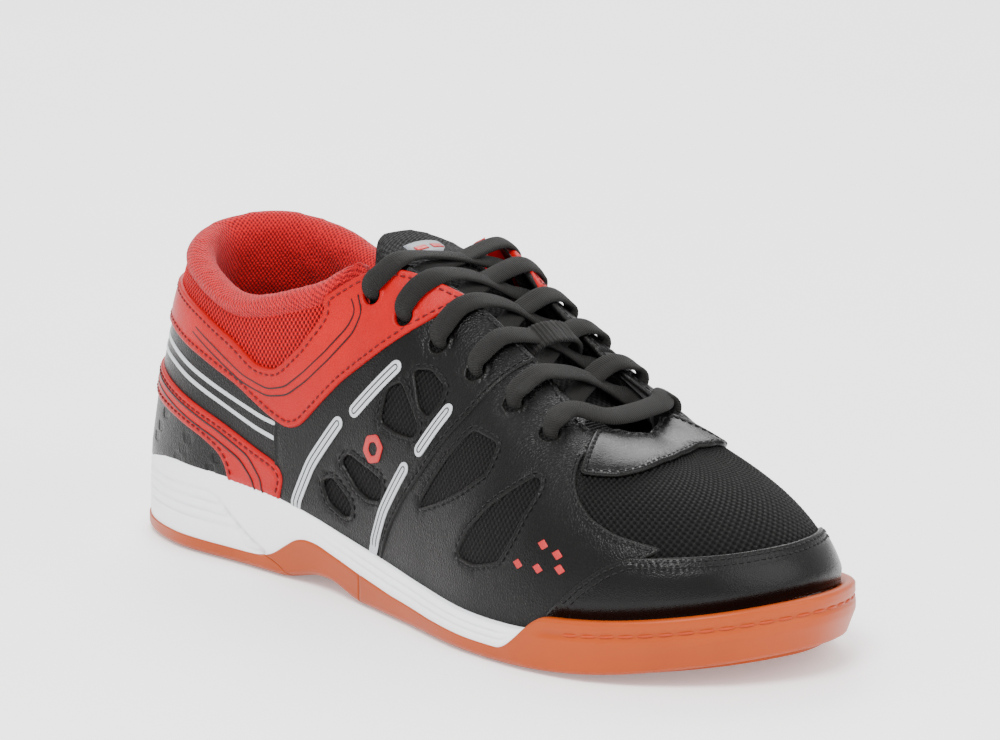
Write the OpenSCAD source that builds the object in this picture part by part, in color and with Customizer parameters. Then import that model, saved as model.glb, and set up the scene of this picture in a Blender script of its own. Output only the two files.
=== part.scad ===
// Low-cut indoor court shoe for the right foot, size EU 42.
// +X points to the toe, +Y to the inner (medial) side, +Z up; the sole rests on z = 0.

/* [Size] */
// Length of the sole from heel to toe; every other dimension is graded with it
sole_length = 290; // [250:1:320]

/* [Sole] */
// Thickness of the gum outsole where it touches the floor
outsole_t = 5; // [4:0.5:6]
// Height that the tip of the toe rises off the floor
toe_spring = 9; // [6:1:11]
// Height of the gum toe bumper above the underside of the sole
bumper_h = 17; // [14:1:18]
// Wall thickness of the toe bumper
bumper_t = 3; // [2.5:0.5:3.5]
// Depth of the tread grooves
tread_depth = 1.5; // [1:0.25:2]
// Thickness of the insole board
board_t = 1.5; // [1:0.25:1.5]
// Thickness of the removable sockliner
sockliner_t = 4; // [3:0.5:5]

/* [Upper] */
// Thickness of the leather panels
leather_t = 1; // [0.8:0.1:1.2]
// Thickness of the mesh and of the eyestay reinforcement behind the panels
mesh_t = 0.9; // [0.7:0.1:1]
// Thickness of the lining fabric
lining_t = 0.8; // [0.6:0.1:0.8]
// Gap between two layers of the upper
layer_gap = 0.2; // [0.15:0.05:0.25]
// Thickness of the collar padding at the topline
collar_pad = 5; // [3:0.5:6]
// Thickness of the foam in the tongue
tongue_foam_t = 4; // [3:0.5:5]

/* [Lacing] */
// Diameter of the lace
lace_d = 4.4; // [3.6:0.2:4.6]
// Diameter of the punched eyelets
eyelet_d = 6.2; // [6:0.2:6.6]

/* [Hidden] */

grade = sole_length / 290;
cols = 3;
rows = 12;

// The last, station by station: foot x y z, topline or throat x y z, roundness, side bulge.
// It runs from the back of the heel along the outer side to the toe and back on the inner side.
last = [
    [-139,   3, 27,   -126,   3, 100,   0,    1.5],
    [-131, -23, 26.5, -117, -16, 98,    0,    1.5],
    [-106, -33, 26,   -100, -26, 93,    0,    2.5],
    [-72,  -33, 25,   -76,  -31, 89,    0,    2],
    [-40,  -33, 22,   -48,  -29, 96,    0.1,  2],
    [-10,  -36, 18.5, -22,  -19, 107,   0.3,  2],
    [20,   -42, 16.5, 6,    -9,  96.5,  0.5,  2],
    [50,   -47, 16,   32,   -7,  82,    0.7,  2],
    [80,   -46, 18,   54,   -5,  69,    0.85, 1.5],
    [107,  -37, 21,   63,   0,   63,    1,    1],
    [127,  -19, 24,   67,   6,   61,    1,    0],
    [136,  7,   26.5, 66,   9,   61,    0.9,  0],
    [129,  29,  25,   63,   14,  63,    0.8,  0],
    [107,  41,  22,   54,   19,  68.5,  0.55, -1],
    [76,   46,  20,   32,   19,  80,    0.5,  0],
    [42,   45,  20,   6,    20,  94,    0.5,  1],
    [4,    39,  23,   -22,  27,  106,   0.35, 2],
    [-36,  34,  25,   -48,  35,  97,    0.15, 2],
    [-72,  35,  26,   -76,  36,  90,    0.05, 2],
    [-104, 37,  27,   -99,  32,  97.5,  0,    2.5],
    [-130, 26,  27,   -116, 20,  102,   0,    1.5]
];
// Plan outline of the sole, in the same order
sole_plan = [
    [-144, 3], [-134, -23], [-107, -36], [-70, -36], [-30, -37], [10, -44], [48, -52],
    [83, -51], [112, -41], [134, -22], [144, 2], [140, 22], [127, 38], [106, 48],
    [76, 52], [38, 51], [-5, 42], [-50, 38], [-90, 40], [-129, 32], [-143, 17]
];
// Height of the top of the midsole along the outer and the inner side
rim_outer = [[-144, 27], [-106, 26], [-72, 25], [-40, 22], [-10, 18.5], [20, 16.5], [50, 16],
             [80, 18], [107, 21], [127, 24], [144, 26.5]];
rim_inner = [[-144, 27], [-104, 27], [-72, 26], [-36, 25], [4, 23], [42, 20], [76, 20],
             [107, 22], [129, 25], [144, 26.5]];

// Seam lines of the side panels in side view, x and z
collar_edge = [[-150, 86], [-118, 85], [-96, 80], [-78, 74], [-64, 67], [-57, 67], [-46, 78],
               [-37, 90], [-43, 97], [-43, 120]];
red_front = [[20, 108], [6, 95], [-8, 84], [-28, 68], [-41, 55], [-45, 51], [-50, 50]];
red_under = [[-50, 50], [-60, 53], [-75, 59], [-95, 65], [-116, 70], [-150, 74]];
low_over = [[-150, 60], [-123, 56], [-99, 50], [-84, 46], [-64, 39], [-55, 38], [-53, 36]];
low_front = [[-53, 36], [-57, 28], [-60, 10]];
low_under = [[-150, 50], [-124, 46], [-96, 40], [-84, 37], [-81, 33], [-81, 10]];
saddle_seam = [[44, 104], [35, 83], [33, 76], [29, 67], [22, 58], [16, 49], [8, 38], [1, 27],
               [-3, 17], [-4, 5]];
quarter_front = [[66, 80], [66, 66], [74, 60], [77, 56], [82, 51], [89, 47], [98, 44],
                 [112, 42], [104, 38], [97, 34], [90, 28], [86, 21], [84, 5]];
vents = [
    [[-9, 59], [-8, 69], [-3, 72], [2, 67], [9, 60], [8, 57], [-1, 57]],
    [[1, 76], [7, 77], [15, 73], [15, 68], [12, 64], [7, 66]],
    [[-26, 43], [-23, 46], [-5, 41], [-5, 35], [-11, 34], [-18, 36]],
    [[-35, 35], [-30, 37], [-21, 31], [-20, 27], [-24, 26], [-32, 29]]
];
upper_window = [[33, 64], [45, 62], [45, 54], [36, 47], [27, 42], [15, 37], [20, 46], [26, 55]];
lower_window = [[64, 56], [67, 53], [63, 38], [59, 30], [48, 27], [39, 28], [43, 36], [52, 46]];
perforations = [[-115, 42], [-119, 37], [-122, 33], [-100, 37], [-103, 33], [-106, 29],
                [-86, 33], [-89, 29]];
bars = [[[-21, 60], [-6, 76]], [[-28, 55], [-48, 28]], [[12, 54], [20, 67]], [[6, 47], [-7, 24]]];
bar_w = 4;
emblem_at = [-10, 50];
emblem_r = 5;
diamond_spots = [[76, 38], [82, 36], [68, 31], [76, 31], [84, 32]];

// Eyelets on the last surface, from the collar down to the toe, as station and row
eyelets_outer = [[4.92, 0.83], [5.36, 0.77], [5.85, 0.74], [6.45, 0.73], [7.1, 0.73], [7.7, 0.72]];
eyelets_inner = [[16.08, 0.83], [15.65, 0.79], [15.15, 0.78], [14.6, 0.78], [13.95, 0.78], [13.35, 0.78]];

// Layers of the upper, measured outwards from the last surface
panel_lo = layer_gap;
panel_hi = panel_lo + leather_t;
over_lo = panel_hi + layer_gap;
over_hi = over_lo + leather_t;
stiff_hi = -mesh_t - layer_gap;
stiff_lo = stiff_hi - 0.7;
lining_hi = stiff_lo - layer_gap;
lining_lo = lining_hi - lining_t;
tongue_drop = mesh_t + lace_d + 3.3;
column_end = len(last);
sole_columns = len(sole_plan) * cols;
rim_clear = 1;
board_clear = 0.4;
shank_size = [90, 16, 1.2];
shank_place = [-30, 5, 17.6];
shank_tilt = 4;
bumper_start = 74;
bumper_full = 98;
arch_back = -60;
arch_front = -12;
liner_clear = 0.4;
keeper_w = 5;
keeper_span = 11.5;
keeper_at = 0.325;

// ---- Curves and surfaces ----

// Smooth curve through p1 and p2, with p0 and p3 beside them
function through(p0, p1, p2, p3, t) =
    0.5 * (2 * p1 + (p2 - p0) * t + (2 * p0 - 5 * p1 + 4 * p2 - p3) * t * t
           + (3 * p1 - p0 - 3 * p2 + p3) * t * t * t);
// Place u on a closed table of rows
function around(table, u) =
    let (n = len(table), i = floor(u), t = u - i)
    through(table[(i + n - 1) % n], table[i % n], table[(i + 1) % n], table[(i + 2) % n], t);
function smooth(t) = let (s = max(0, min(1, t))) s * s * (3 - 2 * s);
function unit(v) = v / norm(v);

// Outward direction in plan at station u of the last
function side_dir(u) =
    let (a = around(last, u), b = around(last, u + 0.01), d = unit([b.x - a.x, b.y - a.y]))
    [d.y, -d.x];
// Point of the last at station u; v runs from the sole (0) to the topline (1)
function upper(u, v) =
    let (s = around(last, u),
         k = s[6],
         rise = (1 - k) * v + k * sin(90 * v),
         lean = (1 - k) * v + k * (1 - cos(90 * v)),
         out = side_dir(u) * s[7] * sin(180 * v))
    [s[0] + (s[3] - s[0]) * lean + out.x, s[1] + (s[4] - s[1]) * lean + out.y,
     s[2] + (s[5] - s[2]) * rise];
function upper_up(u, v) = unit(upper(u, v + (v < 0.5 ? 0.02 : 0)) - upper(u, v - (v < 0.5 ? 0 : 0.02)));
function upper_normal(u, v) = unit(cross(upper(u + 0.02, v) - upper(u, v), upper_up(u, v)));
// The same point raised d outwards
function raised(u, v, d) = upper(u, v) + upper_normal(u, v) * d;

// Collar padding: full round the heel, thin near the top eyelets, fading down the side
function pad(u, v) =
    let (w = u > 10 ? (u > 21 ? u - 21 : 21 - u) : u)
    0.5 + (collar_pad - 0.5) * (1 - 0.7 * smooth((w - 3.4) / 1.2)) * smooth((v - 0.4) / 0.35);

// Point of the sole's plan at u, moved inwards by inset
function plan(u, inset) =
    let (p = around(sole_plan, u), q = around(sole_plan, u + 0.02), t = unit(q - p))
    p + [-t.y, t.x] * inset;
function spring(x) = x > 62 ? toe_spring * pow((x - 62) / 82, 2) : 0;
function rim(p) = p.y < 3 ? lookup(p.x, rim_outer) : lookup(p.x, rim_inner);
function bumper(x) = smooth((x - bumper_start) / (bumper_full - bumper_start));
function bumper_top(p) = outsole_t + spring(p.x) + bumper(p.x) * (bumper_h - outsole_t);

// ---- Solids built from rows of points ----

// Closed skin between two equal grids of points, the outer one and the inner one
module skin_solid(outer, inner) {
    n = len(outer);
    m = len(outer[0]);
    half = n * m;
    points = concat([for (column = outer) each column], [for (column = inner) each column]);
    faces = concat(
        [for (i = [0:n - 2], j = [0:m - 2]) let (a = i * m + j) [a, a + 1, a + m + 1]],
        [for (i = [0:n - 2], j = [0:m - 2]) let (a = i * m + j) [a, a + m + 1, a + m]],
        [for (i = [0:n - 2], j = [0:m - 2]) let (a = half + i * m + j) [a, a + m + 1, a + 1]],
        [for (i = [0:n - 2], j = [0:m - 2]) let (a = half + i * m + j) [a, a + m, a + m + 1]],
        [for (i = [0:n - 2]) let (a = i * m, b = a + m) [a, b, b + half]],
        [for (i = [0:n - 2]) let (a = i * m, b = a + m) [a, b + half, a + half]],
        [for (i = [0:n - 2]) let (d = i * m + m - 1, c = d + m) [c, d, d + half]],
        [for (i = [0:n - 2]) let (d = i * m + m - 1, c = d + m) [c, d + half, c + half]],
        [for (j = [0:m - 2]) [j + 1, j, j + half]],
        [for (j = [0:m - 2]) [j + 1, j + half, j + 1 + half]],
        [for (j = [0:m - 2]) let (b = (n - 1) * m + j) [b, b + 1, b + 1 + half]],
        [for (j = [0:m - 2]) let (b = (n - 1) * m + j) [b, b + 1 + half, b + half]]
    );
    polyhedron(points, faces, convexity = 8);
}

// Skin of the upper over stations u0 to u1 and rows v0 to v1, from lo to hi above the last
module skin(u0, u1, v0, v1, lo, hi) {
    last_col = round((u1 - u0) * cols);
    last_row = round((v1 - v0) * rows);
    function grid(d) = [for (i = [0:last_col]) [for (j = [0:last_row])
        raised(u0 + i / cols, v0 + (v1 - v0) * j / last_row, d)]];
    skin_solid(grid(hi), grid(lo));
}

// Skin whose lower and upper edges are tables of station and row
module shaped_skin(u0, u1, low_edge, high_edge, count, lo, hi) {
    per_station = 2 * cols;
    last_col = round((u1 - u0) * per_station);
    function edge_v(u, j) =
        lookup(u, low_edge) + (lookup(u, high_edge) - lookup(u, low_edge)) * j / count;
    function grid(d) = [for (i = [0:last_col]) let (u = u0 + i / per_station)
        [for (j = [0:count]) raised(u, edge_v(u, j), d)]];
    skin_solid(grid(hi), grid(lo));
}

// Stack of closed rings with a cap at each end; the rings start at the heel
module ring_solid(rings) {
    n = len(rings[0]);
    top = (len(rings) - 1) * n;
    half = floor(n / 2);
    faces = concat(
        [for (k = [0:len(rings) - 2], i = [0:n - 1]) let (a = k * n + i, b = k * n + (i + 1) % n)
            [a, a + n, b + n]],
        [for (k = [0:len(rings) - 2], i = [0:n - 1]) let (a = k * n + i, b = k * n + (i + 1) % n)
            [a, b + n, b]],
        [for (i = [1:half - 1]) [i, i + 1, n - i]],
        [for (i = [1:half - 1]) [i + 1, n - i - 1, n - i]],
        [[0, 1, n - 1]],
        [for (i = [1:half - 1]) [top + i + 1, top + i, top + n - i]],
        [for (i = [1:half - 1]) [top + n - i - 1, top + i + 1, top + n - i]],
        [[top + 1, top, top + n - 1]]
    );
    polyhedron([for (ring = rings) each ring],
               [for (f = faces) if (f[0] != f[1] && f[1] != f[2] && f[0] != f[2]) f],
               convexity = 8);
}

// Cut through one side of the shoe along a side-view outline
module side_cut(points, inner_side) {
    translate([0, inner_side ? 93 : 3, 0]) rotate([90, 0, 0]) linear_extrude(90) polygon(points);
}

// Round bar between two side-view points
module side_bar(ends, width, inner_side) {
    reach = norm(ends[1] - ends[0]);
    turn = atan2(ends[1].y - ends[0].y, ends[1].x - ends[0].x);
    translate([0, inner_side ? 93 : 3, 0]) rotate([90, 0, 0]) linear_extrude(90)
    translate(ends[0]) rotate(turn) union() {
        circle(d = width, $fn = 24);
        translate([reach, 0]) circle(d = width, $fn = 24);
        translate([0, -width / 2]) square([reach, width]);
    }
}

// Tube along a list of points, with flat ends
module tube(path, d, sides) {
    n = len(path);
    function heading(i) = unit(path[min(i + 1, n - 1)] - path[max(i - 1, 0)]);
    function across(i) = unit(cross(heading(i), [1, 0, 0.3]));
    rings = [for (i = [0:n - 1]) let (a = across(i), b = cross(heading(i), a))
        for (k = [0:sides - 1]) path[i] + (a * cos(k * 360 / sides) + b * sin(k * 360 / sides)) * d / 2];
    faces = concat(
        [for (i = [0:n - 2], k = [0:sides - 1]) let (a = i * sides + k, b = i * sides + (k + 1) % sides)
            [a, b + sides, b]],
        [for (i = [0:n - 2], k = [0:sides - 1]) let (a = i * sides + k, b = i * sides + (k + 1) % sides)
            [a, a + sides, b + sides]],
        [[for (k = [0:sides - 1]) k]],
        [[for (k = [0:sides - 1]) n * sides - 1 - k]]
    );
    polyhedron(rings, faces, convexity = 10);
}

// Punches for the six eyelets of one side
module eyelet_punches(eyelets) {
    for (e = eyelets) {
        n = upper_normal(e[0], e[1]);
        translate(upper(e[0], e[1]))
        rotate([0, acos(n.z), atan2(n.y, n.x)])
        cylinder(d = eyelet_d, h = 9, center = true, $fn = 32);
    }
}

// ---- Sole ----

function sole_ring(inset, height) = [for (i = [0:sole_columns - 1])
    let (p = plan(i / cols, inset)) [p.x, p.y, height(p)]];

// Zigzag tread groove across the sole at x
module tread_groove(x) {
    zig = 6;
    wave = [for (k = [-10:10]) [x + (k % 2 == 0 ? 0 : zig), k * zig]];
    back = [for (k = [10:-1:-10]) [x + 2 + (k % 2 == 0 ? 0 : zig), k * zig]];
    translate([0, 0, -1]) linear_extrude(1 + tread_depth) polygon(concat(wave, back));
}

module outsole_forefoot() {
    under = function(p) spring(p.x);
    flank = function(p) spring(p.x) + 3;
    plate = function(p) spring(p.x) + outsole_t;
    crest = function(p) bumper_top(p);
    color("#dc8746") difference() {
        intersection() {
            ring_solid([
                sole_ring(5, under), sole_ring(1, flank), sole_ring(0, plate), sole_ring(1, crest),
                sole_ring(1 + bumper_t, crest), sole_ring(1.3 + bumper_t, plate)
            ]);
            translate([arch_front, -100, -1]) cube([200, 200, 60]);
        }
        for (x = [2:12:50]) tread_groove(x);
    }
}

module outsole_heel() {
    color("#dc8746") difference() {
        linear_extrude(outsole_t) polygon([for (i = [0:sole_columns - 1]) plan(i / cols, 2)]);
        translate([arch_back, -100, -1]) cube([300, 200, 20]);
        for (x = [-126:12:-80]) tread_groove(x);
    }
}

// Side view of the gum wedge under the arch
arch_view = [[arch_back, 0], [-52, 1.5], [-44, 3.5], [-30, 3.5], [arch_front, 0],
             [arch_front, 5.5], [-16, 9.5], [-28, 12.5], [-36, 14.2], [-43, 14.6], [-51, 11], [arch_back, 6]];

module arch_wedge() {
    color("#d07c3c") intersection() {
        linear_extrude(30) polygon([for (i = [0:sole_columns - 1]) plan(i / cols, 1)]);
        translate([0, 90, 0]) rotate([90, 0, 0]) linear_extrude(180) polygon(arch_view);
    }
}

// Thread runs in the groove round the toe bumper, one between two columns of the sole
module bumper_stitching() {
    color("#e89a58") for (i = [24:38]) {
        a = plan(i / cols, 0.9);
        b = plan((i + 1) / cols, 0.9);
        mid = (a + b) / 2;
        turn = atan2(b.y - a.y, b.x - a.x);
        height = bumper_top(mid) - 4.5;
        translate([mid.x, mid.y, height]) rotate(turn) translate([-2.5, -1.6, -0.4]) cube([5, 0.8, 0.8]);
    }
}

module midsole() {
    low = function(p) outsole_t + spring(p.x);
    belly = function(p) outsole_t + spring(p.x) + 0.45 * (rim(p) - rim_clear - outsole_t - spring(p.x));
    high = function(p) rim(p) - rim_clear;
    function tuck(x) = (bumper_t + 1.6) * smooth((x - bumper_start + 14) / 10);
    function ring(inset, height) = [for (i = [0:sole_columns - 1])
        let (c = plan(i / cols, 0), p = plan(i / cols, max(inset, tuck(c.x)))) [p.x, p.y, height(p)]];
    color("#f1f1f4") difference() {
        ring_solid([ring(1, low), ring(0, belly), ring(2, high)]);
        translate([0, 90, 0]) rotate([90, 0, 0]) linear_extrude(180) polygon(arch_view);
        shank_body();
    }
}

module shank_body() {
    translate(shank_place) rotate([0, shank_tilt, 0]) cube(shank_size, center = true);
}

module shank() {
    color("#9aa0a6") shank_body();
}

// Ring of the last's foot line moved inwards and raised
function foot_ring(inset, lift) = [for (i = [0:column_end * cols - 1])
    let (u = i / cols, s = around(last, u), d = side_dir(u))
    [s.x - d.x * inset, s.y - d.y * inset, s.z + lift]];

module insole_board() {
    color("#d9cdb4") ring_solid([
        foot_ring(5, board_clear), foot_ring(5, board_clear + board_t)
    ]);
}

module sockliner() {
    base = board_clear + board_t + liner_clear;
    color("#2b2b2e") ring_solid([foot_ring(6.8, base), foot_ring(6.6, base + sockliner_t)]);
}

// ---- Inner layers of the upper ----

module toe_puff() {
    color("#c8bfae") skin(26 / 3, 37 / 3, 0, 4 / 12, stiff_lo, stiff_hi);
}

module heel_counter() {
    color("#c8bfae") skin(55 / 3, 71 / 3, 0, 5 / 12, stiff_lo, stiff_hi);
}

module vamp_mesh() {
    color("#1d1d1f") skin(25 / 3, 38 / 3, 0, 1, -mesh_t, 0);
}

module side_mesh(u0, u1) {
    color("#1d1d1f") skin(u0, u1, 0, 7 / 12, -mesh_t, 0);
}

module side_mesh_lateral() {
    side_mesh(3, 25 / 3);
}

module side_mesh_medial() {
    side_mesh(38 / 3, 18);
}

module heel_backing() {
    color("#3a3a3c") skin(18, 24, 0, 7 / 12, -mesh_t, 0);
}

module vamp_lining() {
    color("#242427") skin(25 / 3, 38 / 3, 0, 1, lining_lo, lining_hi);
}

module side_lining_lateral() {
    color("#242427") skin(14 / 3, 25 / 3, 0, 7 / 12, lining_lo, lining_hi);
}

module side_lining_medial() {
    color("#242427") skin(38 / 3, 49 / 3, 0, 7 / 12, lining_lo, lining_hi);
}

// Column of the collar lining: up the inside of the heel, then over the padded topline
function lining_column(u, back) =
    let (wall = [for (j = [0:11]) let (v = j / 12)
                 raised(u, v, lining_hi + 0.5 - pad(u, v) - (back ? lining_t : 0))],
         v1 = 11 / 12,
         depth = lining_hi + 0.5 - lining_t - pad(u, v1),
         r = (stiff_hi - depth) / 2,
         c = stiff_hi - r,
         n = upper_normal(u, v1),
         t = upper_up(u, v1),
         reach = back ? r : r - lining_t)
    concat(wall, [for (k = [1:6]) let (a = 180 - 30 * k)
        upper(u, v1) + n * (c + reach * cos(a)) + t * reach * sin(a)]);

module collar_lining() {
    u0 = 49 / 3;
    last_col = 28;
    color("#d8413f") skin_solid(
        [for (i = [0:last_col]) lining_column(u0 + i / cols, false)],
        [for (i = [0:last_col]) lining_column(u0 + i / cols, true)]);
}

module collar_foam() {
    u0 = 49 / 3;
    last_col = 28;
    color("#e6dfc9") skin_solid(
        [for (i = [0:last_col]) let (u = u0 + i / cols) [for (j = [6:11]) raised(u, j / 12, stiff_hi)]],
        [for (i = [0:last_col]) let (u = u0 + i / cols) [for (j = [6:11])
            raised(u, j / 12, lining_hi + 0.6 - pad(u, j / 12))]]);
}

module eyestay_lateral() {
    color("#2a2a2c") difference() {
        skin(14 / 3, 25 / 3, 7 / 12, 1, -mesh_t, 0);
        eyelet_punches(eyelets_outer);
    }
}

module eyestay_medial() {
    color("#2a2a2c") difference() {
        skin(38 / 3, 49 / 3, 7 / 12, 1, -mesh_t, 0);
        eyelet_punches(eyelets_inner);
    }
}

// ---- Outer panels ----

function reversed(list) = [for (i = [len(list) - 1:-1:0]) list[i]];

module collar_mesh() {
    above = concat(collar_edge, [[-150, 120]]);
    color("#c93a38") intersection() {
        skin(50 / 3, 76 / 3, 7 / 12, 11 / 12, panel_lo, panel_hi);
        union() {
            side_cut(above, false);
            side_cut(above, true);
        }
    }
}

module red_quarter(inner_side) {
    outline = concat(collar_edge, [[20, 120]], red_front, red_under);
    color("#dd4642") difference() {
        intersection() {
            if (inner_side) skin(46 / 3, 21, 4 / 12, 1, panel_lo, panel_hi);
            else skin(0, 19 / 3, 4 / 12, 1, panel_lo, panel_hi);
            side_cut(outline, inner_side);
        }
        eyelet_punches(inner_side ? eyelets_inner : eyelets_outer);
    }
}

module heel_band(inner_side) {
    outline = concat(red_under, low_over, low_front, [[-50, 10]]);
    color("#232324") intersection() {
        if (inner_side) skin(17, 21, 0, 9 / 12, panel_lo, panel_hi);
        else skin(0, 4, 0, 9 / 12, panel_lo, panel_hi);
        side_cut(outline, inner_side);
    }
}

module band_stripes(inner_side) {
    color("#c6cacd") intersection() {
        if (inner_side) skin(52 / 3, 20, 2 / 12, 9 / 12, over_lo, over_lo + 0.4);
        else skin(1, 11 / 3, 2 / 12, 9 / 12, over_lo, over_lo + 0.4);
        union() {
            side_bar([[-112, 66], [-52, 48]], 1.2, inner_side);
            side_bar([[-110, 61], [-54, 44]], 1.2, inner_side);
        }
    }
}

module low_stripe(inner_side) {
    outline = concat(low_over, low_front, reversed(low_under));
    color("#dd4642") intersection() {
        if (inner_side) skin(17, 21, 0, 7 / 12, panel_lo, panel_hi);
        else skin(0, 4, 0, 7 / 12, panel_lo, panel_hi);
        side_cut(outline, inner_side);
    }
}

module heel_piece(inner_side) {
    outline = concat(low_under, [[-150, 10]]);
    color("#232324") difference() {
        intersection() {
            if (inner_side) skin(18, 21, 0, 5 / 12, panel_lo, panel_hi);
            else skin(0, 3, 0, 5 / 12, panel_lo, panel_hi);
            side_cut(outline, inner_side);
        }
        for (p = perforations)
            side_cut([p + [-1, -1.2], p + [1.4, -1], p + [1, 1.2], p + [-1.4, 1]], inner_side);
    }
}

module saddle(inner_side) {
    outline = concat(saddle_seam, [[-50, 5]], reversed(red_front));
    color("#2a2a2b") difference() {
        intersection() {
            if (inner_side) skin(14, 53 / 3, 0, 1, panel_lo, panel_hi);
            else skin(10 / 3, 7, 0, 1, panel_lo, panel_hi);
            side_cut(outline, inner_side);
        }
        for (v = vents) side_cut(v, inner_side);
        eyelet_punches(inner_side ? eyelets_inner : eyelets_outer);
    }
}

module saddle_bars(inner_side) {
    color("#c6cacd") intersection() {
        if (inner_side) skin(44 / 3, 53 / 3, 0, 9 / 12, over_lo, over_lo + 0.4);
        else skin(10 / 3, 19 / 3, 0, 9 / 12, over_lo, over_lo + 0.4);
        union() for (b = bars) side_bar(b, bar_w, inner_side);
    }
}

// Plain six-sided badge on the saddle
module emblem(inner_side) {
    badge = [for (k = [0:5]) emblem_at + emblem_r * [cos(60 * k + 15), sin(60 * k + 15)]];
    color("#d8413f") intersection() {
        if (inner_side) skin(15, 17, 3 / 12, 6 / 12, over_lo, over_lo + 0.3);
        else skin(14 / 3, 6, 3 / 12, 6 / 12, over_lo, over_lo + 0.3);
        side_cut(badge, inner_side);
    }
}

module front_quarter(inner_side) {
    outline = concat(reversed(saddle_seam), quarter_front);
    color("#2a2a2b") difference() {
        intersection() {
            if (inner_side) skin(35 / 3, 47 / 3, 0, 1, panel_lo, panel_hi);
            else skin(5, 29 / 3, 0, 1, panel_lo, panel_hi);
            side_cut(outline, inner_side);
        }
        side_cut(upper_window, inner_side);
        side_cut(lower_window, inner_side);
        eyelet_punches(inner_side ? eyelets_inner : eyelets_outer);
    }
}

module diamonds(inner_side) {
    color("#d8413f") intersection() {
        if (inner_side) skin(38 / 3, 43 / 3, 0, 5 / 12, over_lo, over_lo + 0.3);
        else skin(7, 26 / 3, 0, 5 / 12, over_lo, over_lo + 0.3);
        union() for (p = diamond_spots)
            side_cut([p + [-2, 0], p + [0, -1.4], p + [2, 0], p + [0, 1.4]], inner_side);
    }
}

module toe_cap() {
    foot = [[8, 0], [13, 0]];
    crown = [[8, 0.02], [8.4, 0.13], [8.7, 0.21], [9, 0.26], [11, 0.25], [12, 0.26], [12.3, 0.21],
             [12.6, 0.13], [13, 0.02]];
    color("#262627") shaped_skin(8, 13, foot, crown, 3, over_lo, over_hi);
}

module throat_saddle() {
    lower = [[8.3, 0.61], [8.9, 0.63], [9.3, 0.68], [9.8, 0.75], [10.5, 0.8], [11.4, 0.81], [12, 0.76],
             [12.7, 0.66]];
    upper_line = [[8.3, 0.97], [12.7, 0.97]];
    color("#2a2a2b") shaped_skin(25 / 3, 38 / 3, lower, upper_line, 3, over_lo, over_hi);
}

// ---- Tongue ----

// The tongue follows the throat from its sewn base (w = 0) to its rounded top (w = 1)
tongue_rows = 12;
tongue_side_v = [0.74, 0.84, 0.93];
function tongue_mix(w) = smooth(min(1, w / 0.09));
function tongue_top(w) = max(0, w - 0.84) / 0.16;
// One cross-section, d below the tongue's outer face, from the outer side to the inner side
function tongue_section(w, d) =
    let (run = min(1, w / 0.8),
         ua = 8.15 - 3.3 * run,
         ub = 12.85 + 3.3 * run,
         drop = -(lining_hi * (tongue_mix(w) - 1) + (tongue_drop) * tongue_mix(w)) - d,
         edge_a = raised(ua, 1, drop),
         edge_b = raised(ub, 1, drop),
         crown = (edge_a + edge_b) / 2 + [0, 0, 2],
         lift = [-14, 0, 5] * tongue_top(w),
         shrink = 1 - 0.5 * pow(tongue_top(w), 2),
         raw = concat([for (v = tongue_side_v) raised(ua, v, drop)], [edge_a],
                      [(edge_a + crown) / 2 + [0, 0, 0.8], crown, (edge_b + crown) / 2 + [0, 0, 0.8]],
                      [edge_b], [for (k = [2:-1:0]) raised(ub, tongue_side_v[k], drop)]))
    [for (p = raw) [crown.x + (p.x - crown.x) * shrink, crown.y + (p.y - crown.y) * shrink,
                    crown.z + (p.z - crown.z) * shrink] + lift];
function tongue_grid(d) = [for (i = [0:tongue_rows]) tongue_section(i / tongue_rows, d)];

module tongue_layer(top_d, low_d) {
    skin_solid(tongue_grid(low_d), tongue_grid(top_d));
}

module tongue_mesh() {
    color("#1d1d1f") tongue_layer(0, mesh_t);
}

module tongue_foam() {
    color("#e6dfc9") tongue_layer(mesh_t + 0.05, mesh_t + 0.05 + tongue_foam_t);
}

module tongue_lining() {
    color("#2b2b2e") tongue_layer(mesh_t + 0.1 + tongue_foam_t, mesh_t + 0.1 + tongue_foam_t + lining_t);
}

module tongue_label() {
    at = tongue_section(0.9, 0)[5];
    color("#b9bcc0") translate(at) rotate([0, 20, 0]) translate([0, 0, 1]) cube([9, 16, 0.8], center = true);
}

// Arched webbing bridge on the tongue; the lace crosses under it
module lace_keeper() {
    at = tongue_section(keeper_at, 0)[5];
    height = 2 * lace_d + 9.6;
    function arch(half, rise) = [for (a = [0:15:180]) [half * cos(a), rise * sin(a)]];
    color("#1b1b1c") translate(at) rotate([0, 34, 0]) translate([-keeper_w / 2, 0, 0.4])
    rotate([90, 0, 90]) linear_extrude(keeper_w) difference() {
        polygon(arch(keeper_span, height));
        polygon(arch(keeper_span - 0.9, height - 0.9));
    }
}

// ---- Lace ----

lace_r = lace_d / 2;
lace_over = panel_hi + lace_r + 0.8;
lace_under = -mesh_t - lace_r - 0.4;
// Middle of the crossing between two eyelets, on the lower or the upper level
function cross_mid(a, b, level) =
    (raised(a[0], 1, 0) + raised(b[0], 1, 0)) / 2 + [0, 0, lace_r - 2.2 + level * (lace_d + 0.4)];
// Down through eyelet a, out from under the throat edge, across, and over to eyelet b
function lace_pass(a, b, level) = [
    raised(a[0], a[1], 0.1),
    raised(a[0], a[1] + 0.01, lace_under),
    raised(a[0], 0.93, lace_under),
    raised(a[0], 1, lace_under - 0.8) * 0.8 + cross_mid(a, b, 0) * 0.2,
    cross_mid(a, b, level),
    raised(b[0], 1, lace_over + 2.5) * 0.8 + cross_mid(a, b, level) * 0.2,
    raised(b[0], 0.92, lace_over + 0.3),
    raised(b[0], b[1] + 0.02, lace_over)
];
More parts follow.
